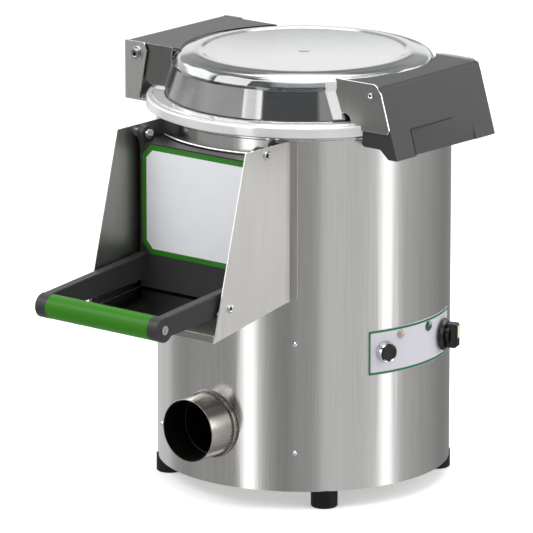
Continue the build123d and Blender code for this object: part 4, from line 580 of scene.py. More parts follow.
def prism(build: bmesh.types.BMesh, outline: Sequence[Flat], low: float, high: float, place: Placing,
          material: int = 0) -> None:
    """Adds a solid with one outline between two levels.

    Args:
        build: the mesh to add to.
        outline: the outline of both ends.
        low: the solid's lower level.
        high: its upper level.
        place: maps the outline and the level to the frame.
        material: the index of its finish.
    """
    bottom = [build.verts.new(Vector(place(u, v, low)) * MM) for u, v in outline]
    top = [build.verts.new(Vector(place(u, v, high)) * MM) for u, v in outline]
    count = len(outline)
    faces = [build.faces.new(bottom[::-1]), build.faces.new(top)]
    faces += [build.faces.new([bottom[k], bottom[(k + 1) % count], top[(k + 1) % count], top[k]])
              for k in range(count)]
    for face in faces:
        face.material_index = material


def tube(path: Sequence[Point], radius: float, closed: bool, sides: int = 10) -> bmesh.types.BMesh:
    """Sweeps a round bead along a path, in millimetres.

    Args:
        path: the points of its middle line.
        radius: the bead's radius.
        closed: whether the path's ends join.
        sides: segments round the bead.

    Returns:
        The mesh, in metres.
    """
    build = bmesh.new()
    spots = [Vector(p) for p in path]
    count = len(spots)
    rings: list[list[bmesh.types.BMVert]] = []
    for n, spot in enumerate(spots):
        last = spots[n - 1] if closed or n else spot
        after = spots[(n + 1) % count] if closed or n < count - 1 else spot
        along = (after - last).normalized()
        side = along.cross(Vector((spot.x, spot.y, 0.0)).normalized()).normalized()
        out = side.cross(along)
        rings.append([build.verts.new((spot + (side * math.cos(a) + out * math.sin(a)) * radius) * MM)
                      for a in circle(sides)])
    for n in range(count if closed else count - 1):
        low, high = rings[n], rings[(n + 1) % count]
        for k in range(sides):
            build.faces.new([low[k], low[(k + 1) % sides], high[(k + 1) % sides], high[k]])
    if not closed:
        build.faces.new(rings[0][::-1])
        build.faces.new(rings[-1])
    return build


@dataclass(frozen=True)
class Trim:
    """How a copy of a CAD node is cleaned.

    Faces across plate_normal take the second finish, and those nearer the drum's axis than lap_r, in
    millimetres, take the third. With painted_highlight_bevel the bevels take the second finish too,
    which paints a highlight on the edges.
    """

    bevel_mm: float = 0.0
    painted_highlight_bevel: bool = False
    plate_normal: Optional[Point] = None
    lap_r: float = 0.0
    segments: int = 2
    angle_deg: float = 28.0
    edge_facing: float = 0.3


def clean_copy(node: str, finishes: Sequence[Finish], trim: Trim) -> bpy.types.Object:
    """Copies a CAD node's mesh, merges its flat facets and rounds its edges.

    Args:
        node: the CAD node.
        finishes: its finish, and the finish of its edges, a painted highlight, if it has one.
        trim: how the edges are made.

    Returns:
        The new piece, which stands for the node.
    """
    build = bmesh.new()
    build.from_mesh(FRAME["nodes"][node].data)
    for face in build.faces:
        face.material_index = 0
    bmesh.ops.remove_doubles(build, verts=build.verts, dist=MERGE_MM * MM)
    bmesh.ops.dissolve_limit(build, angle_limit=math.radians(FLAT_DEG), verts=build.verts, edges=build.edges)
    if trim.plate_normal:
        normal = Vector(trim.plate_normal)
        for face in build.faces:
            facing = abs(face.normal.dot(normal))
            face.material_index = int(facing < trim.edge_facing)
    sharp = [e for e in build.edges if len(e.link_faces) == 2
             and e.calc_face_angle(0.0) > math.radians(trim.angle_deg)]
    if trim.bevel_mm:
        bmesh.ops.bevel(build, geom=sharp, offset=trim.bevel_mm * MM, segments=trim.segments, profile=0.5,
                        affect="EDGES", clamp_overlap=True, material=1 if trim.painted_highlight_bevel else -1)
    for face in build.faces:
        if face.calc_center_median().xy.length < trim.lap_r * MM:
            face.material_index = 2
    piece = link_mesh(f"{node}_finished", build, finishes, SMOOTH_DEG)
    even = piece.modifiers.new("flat_faces", "WEIGHTED_NORMAL")
    even.keep_sharp = True
    settle(piece)
    return stand_for(piece, node)


def paint(piece: bpy.types.Object, finish: int, chosen: Choice) -> None:
    """Gives some faces of a piece another of its finishes.

    Args:
        piece: the piece.
        finish: the index of the finish.
        chosen: says of a face's middle, in millimetres, and its normal whether it is one of them.
    """
    for face in piece.data.polygons:
        if chosen(face.center / MM, face.normal):
            face.material_index = finish


def settle(piece: bpy.types.Object) -> None:
    """Applies a piece's modifiers to its mesh."""
    graph = bpy.context.evaluated_depsgraph_get()
    done = bpy.data.meshes.new_from_object(piece.evaluated_get(graph))
    piece.modifiers.clear()
    piece.data = done


def recess(piece: bpy.types.Object, cutters: bmesh.types.BMesh) -> None:
    """Cuts sockets into a piece; their faces take its second finish, a painted shade.

    Args:
        piece: the piece, which has a second material.
        cutters: solids to take away, with material index 1.
    """
    tool = link_mesh("socket_tool", cutters, (BRIGHT, RECESS))
    cut = piece.modifiers.new("sockets", "BOOLEAN")
    cut.operation, cut.solver, cut.object = "DIFFERENCE", "EXACT", tool
    settle(piece)
    bpy.data.objects.remove(tool)


def stand_for(piece: bpy.types.Object, *nodes: str) -> bpy.types.Object:
    """Makes a piece ride on its first node's body and stand for all the nodes."""
    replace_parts(detail(piece, nodes[0]), *nodes)
    LOG.info("%s stands for %s", piece.name, ", ".join(nodes))
    return piece


def detail(piece: bpy.types.Object, node: str) -> bpy.types.Object:
    """Makes a small piece ride with a CAD node."""
    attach(piece, BODY_OF[node])
    return piece


def dress(node: str, finish: Finish) -> None:
    """Gives a CAD node a finish."""
    materials = FRAME["nodes"][node].data.materials
    materials.clear()
    materials.append(finish.build())


# ------------------------------------------------------------------ sub-assemblies


@dataclass(frozen=True)
class Socket:
    """One screw head with a socket: where its face is, which way it looks, and the socket's size."""

    centre: Point
    outward: Point
    radius: float
    depth: float
    corners: int = 6

    def cut(self, build: bmesh.types.BMesh) -> None:
        """Adds the socket's cutter to a mesh."""
        out = Vector(self.outward).normalized()
        across = out.orthogonal().normalized()
        up = out.cross(across)
        middle = Vector(self.centre)

        def place(u: float, v: float, w: float) -> Point:
            return tuple(middle + across * u + up * v + out * w)

        outline = [(self.radius * math.cos(a), self.radius * math.sin(a)) for a in circle(self.corners)]
        prism(build, outline, -self.depth, self.depth, place, 1)


@dataclass(frozen=True)
class ScrewPair:
    """Two screws of one CAD node, one on each side of the machine.

    Face is the middle of one head's face. The heads look along X where axis is 0 and along Y where it is
    1. Faces less than dark_r from the screw's axis and beyond dark_from along it are darker.
    """

    node: str
    face: Point
    axis: int
    socket_r: float
    socket_depth: float
    dark_r: float = 0.0
    dark_from: float = 0.0

    def is_dark(self, spot: Vector, _normal: Vector) -> bool:
        """Whether a face belongs to the darker part of a head."""
        aside = (spot[k] - self.face[k] for k in range(3) if k != self.axis)
        return abs(spot[self.axis]) > self.dark_from and math.hypot(*aside) < self.dark_r

    def make(self) -> None:
        """Makes both screws, and the sockets in their heads, which take the painted shade."""
        screws = clean_copy(self.node, (BRIGHT, RECESS, DARK_BOLT), Trim(0.35))
        paint(screws, 2, self.is_dark)
        cutters = bmesh.new()
        for side in (-1, 1):
            centre, outward = list(self.face), [0.0, 0.0, 0.0]
            centre[self.axis] *= side
            outward[self.axis] = float(side)
            Socket(tuple(centre), tuple(outward), self.socket_r, self.socket_depth).cut(cutters)
        recess(screws, cutters)


@dataclass(frozen=True)
class Fasteners:
    """Screws whose heads get sockets."""

    pairs: tuple[ScrewPair, ...] = (
        ScrewPair("door_pivots", (113.4, -216.3, 496.5), 0, 3.1, 1.4),
        ScrewPair("chute_screws", (113.2, -292.0, 303.567), 0, 2.5, 1.0),
        ScrewPair("hinge_bolts", (-206.0, 112.6, 572.5), 1, 3.3, 2.6, dark_r=7.0, dark_from=108.8),
        ScrewPair("lid_handle_screws", (201.0, 111.0, 571.0), 1, 2.0, 1.2),
    )

    def make(self) -> None:
        """Makes every pair."""
        for pair in self.pairs:
            pair.make()


@dataclass(frozen=True)
class LidShape:
    """Sizes of the clear lid: radii and heights about the drum's axis, in millimetres."""

    top: float = 590.0
    dish: float = 3.0
    groove_r: float = 141.0
    groove: float = 1.6
    groove_w: float = 5.0
    shoulder_r: float = 150.0
    shoulder_round: float = 55.0
    crown_r: float = 178.0
    crown_in: float = 6.5
    crown_drop: float = 5.2
    crown_round: float = 13.0
    bead_z: float = 573.0
    neck_r: float = 176.7
    neck_z: float = 569.0
    base_r: float = 187.5
    base_z: float = 531.0
    flange_step: float = 2.0
    flange_z: float = 529.5
    lip_r: float = 204.5
    lip: float = 1.3
    rim_r: float = 214.0
    rim_z: float = 513.8
    rim_wall: float = 3.5
    rim_round: float = 6.0
    wall: float = 4.0
    boss_r: float = 7.0
    boss_w: float = 2.0
    boss_drop: float = 0.5
    skin: float = 0.5
    sealant_r: float = 0.4
    sealant_out: float = 0.6
    sealant_up: float = 0.2


@dataclass(frozen=True)
class Lid:
    """Clear lid with its dish, wall and flange."""

    shape: LidShape = LidShape()
    steps: int = 256

    def profile(self) -> list[Flat]:
        """Outline of the lid's section, rounded."""
        s = self.shape
        inner_rim, inner_crown = s.rim_r - s.rim_wall, s.crown_r - s.wall
        under_flange, under_top = s.flange_z - s.wall, s.top - s.wall
        # Radius, height and rounding of each corner: over the top from the middle, then back underneath.
        corners = [
            (0.0, s.top - s.dish, 0.0), (s.boss_r, s.top - s.dish, 0.0),
            (s.boss_r + s.boss_w, s.top - s.dish - s.boss_drop, 0.8),
            (s.groove_r - s.groove_w, s.top - s.groove, 0.6), (s.groove_r, s.top, 0.8),
            (s.shoulder_r, s.top, s.shoulder_round),
            (s.crown_r - s.crown_in, s.top - s.crown_drop, s.crown_round), (s.crown_r, s.bead_z, 1.0),
            (s.neck_r, s.neck_z, 1.5),
            (s.base_r, s.base_z, 1.2), (s.base_r + s.flange_step, s.flange_z, 1.0),
            (s.lip_r, s.flange_z, 0.5), (s.lip_r + s.lip, s.flange_z - s.lip, 0.5),
            (s.rim_r, s.flange_z - s.lip, s.rim_round), (s.rim_r, s.rim_z, 1.2), (inner_rim, s.rim_z, 1.2),
            (inner_rim, under_flange, s.rim_round - s.rim_wall), (s.base_r - s.wall, under_flange, 2.0),
            (s.neck_r - s.wall, s.neck_z, 1.5), (inner_crown, s.bead_z, 1.0),
            (inner_crown - s.crown_in, under_top - s.crown_drop, s.crown_round - s.wall),
            (s.shoulder_r, under_top, s.shoulder_round), (s.groove_r, under_top - s.groove, 1.0),
            (0.0, under_top - s.dish, 0.0),
        ]
        return corner_arcs([(r, z) for r, z, _ in corners], [fillet for _, _, fillet in corners])

    def in_dish(self, spot: Vector, _normal: Vector) -> bool:
        """Whether a face is on top of the dish."""
        s = self.shape
        return spot.z > s.top - s.wall + s.skin and spot.xy.length < s.groove_r - s.groove_w

    def in_flange(self, spot: Vector, _normal: Vector) -> bool:
        """Whether a face is outside the wall's foot."""
        return spot.xy.length > self.shape.base_r + self.shape.flange_step

    def make(self) -> None:
        """Makes the lid and the sealant line at its wall's foot."""
        s = self.shape
        shell = link_mesh("lid_shell_moulded", revolved(self.profile(), self.steps),
                          (CLEAR, DISH_CLEAR, FLANGE_CLEAR))
        paint(shell, 1, self.in_dish)
        paint(shell, 2, self.in_flange)
        stand_for(shell, "lid_shell")
        radius, height = s.base_r + s.sealant_out, s.base_z + s.sealant_up
        line = [(radius * math.cos(a), radius * math.sin(a), height) for a in circle(self.steps)]
        bead = tube(line, s.sealant_r, closed=True, sides=8)
        detail(link_mesh("lid_wall_sealant", bead, (SEALANT,)), "lid_shell")


@dataclass(frozen=True)
class LidHandle:
    """Handle box of the lid, a black bead that paints the shadow line round its recess, and its two side
    plates.
    """

    box_top: float = 584.0
    box_top_x: float = 214.5
    box_slope: float = 0.302
    recess_half: float = 65.0
    recess_low: float = 488.8
    recess_top: float = 523.0
    bead_r: float = 0.6
    shadow_line_end: float = 25.0
    plate_out_y: float = 109.5

    def on_slope(self, u: float, v: float) -> Point:
        """Maps along the handle's front and up it to the frame."""
        return (self.box_top_x + self.box_slope * (self.box_top - v), u, v)

    def outside_painted_highlight(self, spot: Vector, _normal: Vector) -> bool:
        """Whether a face is on a side plate's outer side, which takes the painted highlight."""
        return abs(spot.y) > self.plate_out_y

    def front_painted_highlight(self, _spot: Vector, normal: Vector) -> bool:
        """Whether a face looks to the front, as the rear plate's inner side does; it takes the painted
        highlight.
        """
        return normal.y < -SQUARE_ON

    def make(self) -> None:
        """Makes the box, its bead of painted shadow, and the plates with their painted highlight."""
        clean_copy("lid_handle", (HANDLE_PLASTIC,), Trim(bevel_mm=1.0, segments=3))
        # A thin black bead along the recess's left edge and top stands in for its shadow line: painted
        # shadow.
        corners = ((-self.recess_half, self.recess_low), (-self.recess_half, self.recess_top),
                   (self.shadow_line_end, self.recess_top))
        bead = tube([self.on_slope(u, v) for u, v in corners], self.bead_r, closed=False, sides=8)
        detail(link_mesh("lid_handle_recess_shadow_line", bead, (RUBBER,)), "lid_handle")
        # The plates' edges, their outer sides and the rear plate's inner side take a painted highlight.
        trim = Trim(0.4, painted_highlight_bevel=True, plate_normal=(0.0, 1.0, 0.0))
        for node in ("lid_side_plate_front", "lid_side_plate_rear"):
            plate = clean_copy(node, (PLATE_STEEL, EDGE_HIGHLIGHT_STEEL), trim)
            paint(plate, 1, self.outside_painted_highlight)
            if node.endswith("rear"):
                paint(plate, 1, self.front_painted_highlight)


@dataclass(frozen=True)
class LidHinge:
    """Bracket and frame of the lid's hinge, and the lip and ears that reach the lid's crown."""

    lid: Lid = Lid()
    half: float = 103.0
    lip_out_r: float = 178.3
    lip_in_r: float = 167.0
    lip_low: float = 586.0
    lip_high: float = 588.0
    lip_steps: int = 32
    ear: float = 1.0
    ear_gap: float = 0.2

    def lip_arc(self, radius: float) -> list[Flat]:
        """Arc round the lid, across the hinge's top plate."""
        end = math.asin(self.half / radius)
        turns = [end * (2 * n / self.lip_steps - 1) for n in range(self.lip_steps + 1)]
        return [(-radius * math.cos(a), radius * math.sin(a)) for a in turns]

    def ear_outline(self) -> list[Flat]:
        """Sliver that carries each side of the hinge to the lid's crown."""
        outer = takewhile(lambda spot: spot[1] > self.lid.shape.bead_z, self.lid.profile())
        crown = [(radius + self.ear_gap, z) for radius, z in outer if z < self.lip_low]
        inner = self.half - self.ear
        edge = [(-math.sqrt(radius ** 2 - inner ** 2), z) for radius, z in crown if radius < self.lip_out_r]
        back = -math.sqrt(self.lip_out_r ** 2 - self.half ** 2)
        return edge + [(back, edge[-1][1]), (back, edge[0][1])]

    def make(self) -> None:
        """Makes the bracket, the frame with painted shade on its top, the lip and the ears."""
        # The bracket's and the frame's edges take the painted highlight.
        trim = Trim(0.4, painted_highlight_bevel=True)
        clean_copy("hinge_bracket", (BRACKET_STEEL, EDGE_HIGHLIGHT_STEEL), trim)
        frame = clean_copy("hinge_frame", (HINGE_STEEL, EDGE_HIGHLIGHT_STEEL, HINGE_TOP_SHADED_STEEL), trim)
        # The frame's top faces take the painted shade.
        paint(frame, 2, lambda _spot, normal: normal.z > SQUARE_ON)
        lip, ears = bmesh.new(), bmesh.new()
        outline = self.lip_arc(self.lip_out_r) + self.lip_arc(self.lip_in_r)[::-1]
        prism(lip, outline, self.lip_low, self.lip_high, lying_flat)
        # The lip takes the painted shade too.
        detail(link_mesh("hinge_frame_lip", lip, (HINGE_TOP_SHADED_STEEL,)), "hinge_frame")
        for low in (-self.half, self.half - self.ear):
            prism(ears, self.ear_outline(), low, low + self.ear, standing_across)
        detail(link_mesh("hinge_frame_ears", ears, (HINGE_STEEL,)), "hinge_frame")


@dataclass(frozen=True)
class LabelShape:
    """Sizes of the door's label, in millimetres."""

    half: float = 100.0
    low: float = 333.0
    high: float = 483.0
    chamfer: float = 15.0
    border: float = 7.2
    front: float = 220.0
    film: float = 0.6

    def outline(self, inset: float) -> list[Flat]:
        """Octagon of the label, inset from its edge."""
        half, low, high = self.half - inset, self.low + inset, self.high - inset
        cut = self.chamfer - inset * (2.0 - math.sqrt(2.0))
        return [
            (-half + cut, low), (half - cut, low), (half, low + cut), (half, high - cut),
            (half - cut, high), (-half + cut, high), (-half, high - cut), (-half, low + cut),
        ]


@dataclass(frozen=True)
class Door:
    """Door panel with its label, and the two arms of the handle."""

    label: LabelShape = LabelShape()

    def make(self) -> None:
        """Makes the mouldings and the printed label."""
        clean_copy("door_panel", (DOOR_PLASTIC,), Trim(0.9))
        for node in ("door_arm_left", "door_arm_right"):
            clean_copy(node, (DOOR_PLASTIC,), Trim(0.8))
        shape = self.label
        border, middle = bmesh.new(), bmesh.new()
        levels = (shape.front, shape.front + shape.film)
        frame_ring(border, shape.outline(0.0), shape.outline(shape.border), *levels, facing_front)
        prism(middle, shape.outline(shape.border), *levels, facing_front)
        stand_for(link_mesh("door_label_border", border, (LABEL_GREEN,)), "door_label")
        stand_for(link_mesh("door_label_middle", middle, (LABEL_WHITE,)), "door_label")


@dataclass(frozen=True)
class Chute:
    """Cheeks and floor of the discharge chute."""

    lap_r: float = 203.2

    def make(self) -> None:
        """Makes the sheet pieces, with shorn edges in painted highlight."""
        # The edges take the painted highlight.
        trim = Trim(0.3, painted_highlight_bevel=True, plate_normal=(1.0, 0.0, 0.0), lap_r=self.lap_r)
        # The left cheek takes the sheet painted darker for shade.
        for node, steel in (("cheek_left", SHADED_CHEEK_STEEL), ("cheek_right", CHEEK_STEEL)):
            clean_copy(node, (steel, EDGE_HIGHLIGHT_STEEL, LAP_STEEL), trim)
        clean_copy("chute_floor", (TRAY_STEEL, EDGE_HIGHLIGHT_STEEL), Trim(0.3, painted_highlight_bevel=True))


@dataclass(frozen=True)
class PanelShape:
    """Sizes of the control panel, in degrees of bearing and millimetres."""

    start: float = 64.4
    end: float = 116.0
    middle_z: float = 211.3
    height: float = 61.5
    face_r: float = 200.7
    edge: float = 0.3
    border: float = 3.2
    corner: float = 2.0
    ink: float = 0.06
    side_steps: int = 24
    timer_bearing: float = 108.0
    timer_z: float = 210.0
    bar_top: float = 23.6
    mark_half: float = 3.2
    mark_low: float = -3.0
    mark_high: float = 13.6
    mark_round: float = 0.8
    mark_sunk: float = 0.8
    mark_proud: float = 0.3


@dataclass(frozen=True)
class ControlPanel:
    """Border of the panel's film and the mark on the timer's knob."""

    shape: PanelShape = PanelShape()

    def outline(self, inset: float) -> list[Flat]:
        """Rounded outline in bearing and height, inset in millimetres."""
        s = self.shape
        degree = math.radians(1.0) * s.face_r
        left, right = s.start * degree + inset, s.end * degree - inset
        low, high = s.middle_z - s.height / 2 + inset, s.middle_z + s.height / 2 - inset
        corners = corner_arcs([(left, low), (right, low), (right, high), (left, high)], [s.corner] * 4, 4)
        return [(u / degree, v) for u, v in subdivided(corners, s.side_steps)]

    def make(self) -> None:
        """Makes the border and the knob's inlay."""
        s = self.shape
        border, inlay = bmesh.new(), bmesh.new()
        rings = (self.outline(s.edge), self.outline(s.edge + s.border))
        frame_ring(border, *rings, s.face_r, s.face_r + s.ink, on_drum)
        detail(link_mesh("control_label_border", border, (PANEL_GREEN,)), "control_label")
        corners = [(-s.mark_half, s.mark_low), (s.mark_half, s.mark_low),
                   (s.mark_half, s.mark_high), (-s.mark_half, s.mark_high)]
        on_knob = at_bearing(s.timer_bearing, s.timer_z, s.face_r)
        prism(inlay, corner_arcs(corners, [s.mark_round] * 4, 3), s.bar_top - s.mark_sunk,
              s.bar_top + s.mark_proud, on_knob)
        # The inlay carries a painted glow.
        detail(link_mesh("timer_knob_inlay", inlay, (GLOWING_INLAY,)), "timer_knob")


@dataclass(frozen=True)
class Drum:
    """Small details of the drum: the drain's weld, the opening's trim and the dome screws."""

    radius: float = 200.0
    collar_r: float = 45.5
    bore_r: float = 42.0
    drain_z: float = 107.0
    pipe_in: float = 1.0
    bead_r: float = 0.9
    bead_in: float = 0.3
    bead_steps: int = 72
    trim_z: float = 487.3
    trim_r: float = 0.9
    trim_out: float = 0.5
    trim_half_deg: float = 30.0
    trim_steps: int = 48

    def weld_spot(self, turn: float) -> Point:
        """Point of the weld's middle line, where the collar meets the round drum."""
        seat = self.collar_r + self.bead_r / 2
        across, up = seat * math.cos(turn), seat * math.sin(turn)
        return (across, -math.sqrt(self.radius ** 2 - across ** 2) - self.bead_in, self.drain_z + up)

    def trim_spot(self, share: float) -> Point:
        """Point of the opening's trim, at a share from -1 to 1 of its half angle."""
        return on_drum(self.trim_half_deg * share, self.trim_z, self.radius + self.trim_out)

    def in_pipe_shade(self, spot: Vector, _normal: Vector) -> bool:
        """Whether a face of the drain is inside it or behind the drum's skin: these take the painted shade.
        """
        inside = math.hypot(spot.x, spot.z - self.drain_z) < self.bore_r
        return inside or spot.y > self.pipe_in - self.radius

    def make(self) -> None:
        """Makes the weld bead, the trim, the screws and the drain with painted shade inside."""
        weld = tube([self.weld_spot(turn) for turn in circle(self.bead_steps)], self.bead_r, closed=True)
        detail(link_mesh("drain_weld_bead", weld, (WELD_STEEL,)), "drum_casing")
        arc = [self.trim_spot(2 * n / self.trim_steps - 1) for n in range(self.trim_steps + 1)]
        trim = tube(arc, self.trim_r, closed=False)
        # The trim takes the edges' painted highlight.
        detail(link_mesh("opening_trim", trim, (EDGE_HIGHLIGHT_STEEL,)), "drum_casing")
        clean_copy("dome_screws", (BRIGHT,), Trim())
        paint(clean_copy("drain_pipe", (TUBE_STEEL, PIPE_SHADE_STEEL), Trim(0.3)), 1, self.in_pipe_shade)


# ------------------------------------------------------------------ camera, floor and light


@dataclass(frozen=True)
class Viewpoint:
    """The camera: a long lens, a little above the machine and to its front right."""

    bearing_deg: float = 39.281
    elevation_deg: float = 14.319
    distance_mm: float = 7825.2
    lens_mm: float = 387.5
    sensor_mm: float = 36.0
    aside_mm: float = -50.815
    height_mm: float = 285.487
    clip_m: float = 100.0

    def make(self) -> None:
        """Creates the camera and makes it the scene's."""
        turn, rise = math.radians(self.bearing_deg), math.radians(self.elevation_deg)
        right = Vector((math.cos(turn), math.sin(turn), 0))
        away = Vector((math.sin(turn) * math.cos(rise), -math.cos(turn) * math.cos(rise), math.sin(rise)))
        aim = right * self.aside_mm + Vector((0, 0, self.height_mm))
        data = bpy.data.cameras.new("camera")
        data.lens = self.lens_mm
        data.sensor_width = self.sensor_mm
        data.clip_end = self.clip_m
        camera = bpy.data.objects.new("camera", data)
        camera.location = (aim + away * self.distance_mm) * MM
        camera.rotation_euler = (math.pi / 2 - rise, 0, turn)
        bpy.context.scene.collection.objects.link(camera)
        bpy.context.scene.camera = camera


@dataclass(frozen=True)
class Card:
    """A tall card or softbox that polished metal sees at one bearing."""

    bearing_deg: float
    level: float


@dataclass(frozen=True)
class CardRow:
    """A row of cards: it takes over from the row below between two sines of elevation."""

    start: float
    full: float
    cards: tuple[Card, ...]


def row(start: float, full: float, *cards: Flat) -> CardRow:
    """Makes a row of cards from pairs of bearing and level."""
    return CardRow(start, full, tuple(Card(bearing, level) for bearing, level in cards))


# The window in front, the dark gap beside it and the softbox on the right, as the lid's wall sees them.
FRONT_WINDOW: tuple[Flat, ...] = (
    (-14, 5.5), (-11, 3.8), (-4, 3.4), (-1, 5.5), (1.5, 5.5), (3, 0.05), (50, 0.05), (53, 1.2), (98, 1.2),
    (102, 5.0), (111.5, 5.0),
)


@dataclass(frozen=True)
class Softbox:
    """A square lamp: where it hangs and the point it faces, in millimetres, its side and its power."""

    name: str
    spot: Point
    target: Point
    size_mm: float
    watts: float

    def make(self) -> None:
        """Creates the lamp."""
        data = bpy.data.lights.new(self.name, "AREA")
        data.energy = self.watts
        data.size = self.size_mm * MM
        lamp = bpy.data.objects.new(self.name, data)
        lamp.location = Vector(self.spot) * MM
        facing = Vector(self.target) - Vector(self.spot)
        lamp.rotation_euler = facing.to_track_quat("-Z", "Y").to_euler()
        bpy.context.scene.collection.objects.link(lamp)


@dataclass(frozen=True)
class StudioSet:
    """White floor, an even sky of light, and tall cards for the metal to reflect."""

    floor_half_mm: float = 6000.0
    floor_lift: float = 0.35
    sky_level: float = 0.78
    rows: tuple[CardRow, ...] = (
        row(-1.0, -0.9, (-180, 0.28), (-150, 0.30), (-120, 0.70), (-95, 0.75), (-84, 0.45), (-66, 0.34),
            (-55, 0.42), (-22, 0.40), (-11.5, 0.34), (-10, 2.0), (0.5, 2.0), (2.5, 0.72), (6, 0.62),
            (12, 0.46), (20, 0.32), (26, 0.30), (32, 0.40), (50, 0.44), (53.5, 0.76), (86, 0.72), (95, 0.80),
            (101, 1.0), (103, 2.0), (111.5, 2.0), (114, 1.0), (120, 0.66), (134, 0.52), (155, 0.42),
            (168, 0.34), (180, 0.28)),
        row(0.02, 0.10, (-180, 1.1), (-100, 1.2), (-80, 1.3), (-66, 1.0), (-52, 1.6), (-15, 1.4),
            *FRONT_WINDOW, (114, 1.2), (150, 0.8), (180, 1.1)),
        row(0.22, 0.28, (-180, 0.45), (-108, 0.5), (-100, 3.5), (-58, 4.5), (-52, 0.6), (-40, 1.4),
            (-15, 1.6), *FRONT_WINDOW, (114, 0.6), (134, 0.4), (142, 4.5), (174, 4.0), (178, 0.5),
            (180, 0.45)),
        row(0.40, 0.46, (-180, 0.4), (-100, 0.4), (-94, 4.0), (-62, 5.0), (-56, 0.15), (136, 0.15),
            (142, 5.0), (172, 4.0), (176, 0.4), (180, 0.4)),
        row(0.62, 0.67, (-180, 0.3), (-158, 0.3), (-152, 5.0), (-128, 5.0), (-122, 0.3), (-60, 0.2),
            (180, 0.3)),
        row(0.74, 0.78, (-180, 0.3), (-164, 0.3), (-156, 5.5), (-124, 5.5), (-116, 0.3), (-22, 0.3),
            (-14, 5.5), (78, 5.5), (88, 0.3), (180, 0.3)),
        row(0.92, 0.95, (-180, 5.5), (180, 5.5)),
    )
    lamps: tuple[Softbox, ...] = (
        Softbox("key_softbox", (-1200, -1800, 2200), (0, 0, 350), 1400, 28),
        Softbox("top_softbox", (300, 200, 2400), (0, 0, 400), 1800, 22),
        Softbox("side_softbox", (1600, 1900, 900), (0, -100, 350), 1200, 16),
    )

    def floor(self) -> None:
        """Makes the floor: it keeps shadows, and lets metal see the cards below it."""
        build = bmesh.new()
        bmesh.ops.create_grid(build, x_segments=1, y_segments=1, size=self.floor_half_mm * MM)
        floor = link_mesh("floor", build, (FLOOR,))
        tree = floor.data.materials[0].node_tree
        shader = tree.nodes["Principled BSDF"]
        path = add_node(tree, "LightPath")
        seen = path.outputs["Is Camera Ray"]
        lift = add_node(tree, "Math", operation="MULTIPLY", in_0=seen, in_1=self.floor_lift)
        shader.inputs["Emission Color"].default_value = (1, 1, 1, 1)
        tree.links.new(lift.outputs["Value"], shader.inputs["Emission Strength"])
        clear = add_node(tree, "BsdfTransparent")
        mix = add_node(tree, "MixShader", Fac=path.outputs["Is Glossy Ray"])
        tree.links.new(shader.outputs["BSDF"], mix.inputs[1])
        tree.links.new(clear.outputs["BSDF"], mix.inputs[2])
        tree.links.new(mix.outputs["Shader"], tree.nodes["Material Output"].inputs["Surface"])

    def row_colour(self, tree: bpy.types.NodeTree, share: bpy.types.NodeSocket,
                   cards: Sequence[Card]) -> bpy.types.NodeSocket:
        """Colour of a row of cards by bearing."""
        ramp = add_node(tree, "ValToRGB", Fac=share)
        stops = ramp.color_ramp.elements
        brightest = max(card.level for card in cards)
        for card, stop in zip(cards, list(stops) + [None] * len(cards)):
            where = (card.bearing_deg + 180.0) / 360.0
            stop = stop or stops.new(where)
            stop.position = where
            level = card.level / brightest
            stop.color = (level, level, level, 1)
        lit = add_node(tree, "VectorMath", operation="SCALE", in_0=ramp.outputs["Color"])
        lit.inputs["Scale"].default_value = brightest
        return lit.outputs["Vector"]

    def cards_colour(self, tree: bpy.types.NodeTree) -> bpy.types.NodeSocket:
        """Colour of the cards, row above row, from the horizon to the overhead boxes."""
        coords = add_node(tree, "TexCoord")
        parts = add_node(tree, "SeparateXYZ", Vector=coords.outputs["Generated"])
        back = add_node(tree, "Math", operation="MULTIPLY", in_0=parts.outputs["Y"], in_1=-1.0)
        bearing = add_node(tree, "Math", operation="ARCTAN2", in_0=parts.outputs["X"],
                           in_1=back.outputs["Value"])
        turn = add_node(tree, "MapRange", Value=bearing.outputs["Value"], From_Min=-math.pi, From_Max=math.pi)
        lowest, *upper = self.rows
        colour = self.row_colour(tree, turn.outputs["Result"], lowest.cards)
        for higher in upper:
            rise = add_node(tree, "MapRange", Value=parts.outputs["Z"], From_Min=higher.start,
                            From_Max=higher.full)
            above = self.row_colour(tree, turn.outputs["Result"], higher.cards)
            mix = add_node(tree, "MixRGB", Fac=rise.outputs["Result"], Color1=colour, Color2=above)
            colour = mix.outputs["Color"]
        return colour

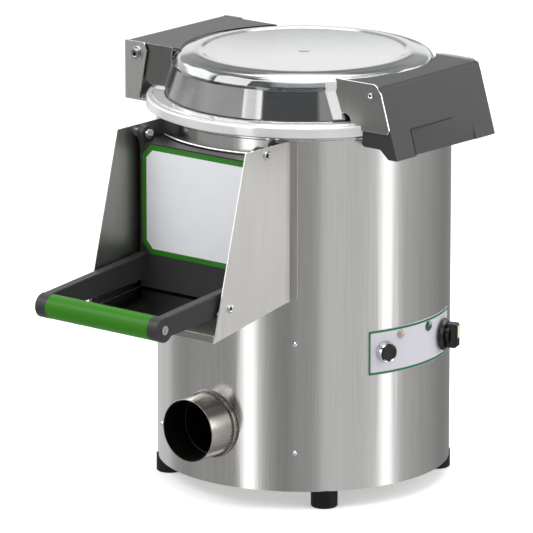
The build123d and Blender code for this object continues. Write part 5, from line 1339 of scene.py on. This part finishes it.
    def sky(self) -> None:
        """Makes the world: white behind the machine, even light, and the cards for reflections."""
        world = bpy.data.worlds.new("studio")
        bpy.context.scene.world = world
        world.use_nodes = True
        tree = world.node_tree
        tree.nodes.clear()
        path = add_node(tree, "LightPath")
        plain = add_node(tree, "Background", Color=(1, 1, 1, 1), Strength=self.sky_level)
        cards = add_node(tree, "Background", Color=self.cards_colour(tree), Strength=1.0)
        white = add_node(tree, "Background", Color=(1, 1, 1, 1), Strength=1.0)
        glossy = add_node(tree, "MixShader", Fac=path.outputs["Is Glossy Ray"])
        tree.links.new(plain.outputs["Background"], glossy.inputs[1])
        tree.links.new(cards.outputs["Background"], glossy.inputs[2])
        seen = add_node(tree, "Math", operation="MAXIMUM", in_0=path.outputs["Is Camera Ray"],
                        in_1=path.outputs["Is Transmission Ray"])
        final = add_node(tree, "MixShader", Fac=seen.outputs["Value"])
        tree.links.new(glossy.outputs["Shader"], final.inputs[1])
        tree.links.new(white.outputs["Background"], final.inputs[2])
        out = add_node(tree, "OutputWorld")
        tree.links.new(final.outputs["Shader"], out.inputs["Surface"])

    def make(self) -> None:
        """Builds the whole set."""
        self.floor()
        self.sky()
        for lamp in self.lamps:
            lamp.make()


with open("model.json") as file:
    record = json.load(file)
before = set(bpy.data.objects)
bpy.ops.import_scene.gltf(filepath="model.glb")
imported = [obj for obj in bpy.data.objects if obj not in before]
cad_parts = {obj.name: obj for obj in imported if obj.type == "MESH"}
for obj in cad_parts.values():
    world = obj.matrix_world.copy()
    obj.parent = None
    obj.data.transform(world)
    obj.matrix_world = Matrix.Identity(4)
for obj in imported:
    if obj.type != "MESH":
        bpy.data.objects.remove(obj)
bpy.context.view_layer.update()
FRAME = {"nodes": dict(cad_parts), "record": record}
BODY_OF: dict[str, str] = {
    node: body for body, nodes in FRAME["record"]["behaviour"]["bodies"].items() for node in nodes
}


def main() -> None:
    """Builds the whole scene."""
    logging.basicConfig(level=logging.INFO, format="%(message)s")
    bpy.context.scene.view_settings.view_transform = "Standard"
    Viewpoint().make()
    StudioSet().make()
    for finish, nodes in CAD_FINISHES.items():
        for node in nodes:
            dress(node, finish)
    for assembly in (Drum(), ControlPanel(), Chute(), Door(), Lid(), LidHandle(), LidHinge(), Fasteners()):
        LOG.info("making %s", type(assembly).__name__)
        assembly.make()


if __name__ == "__main__":
    main()
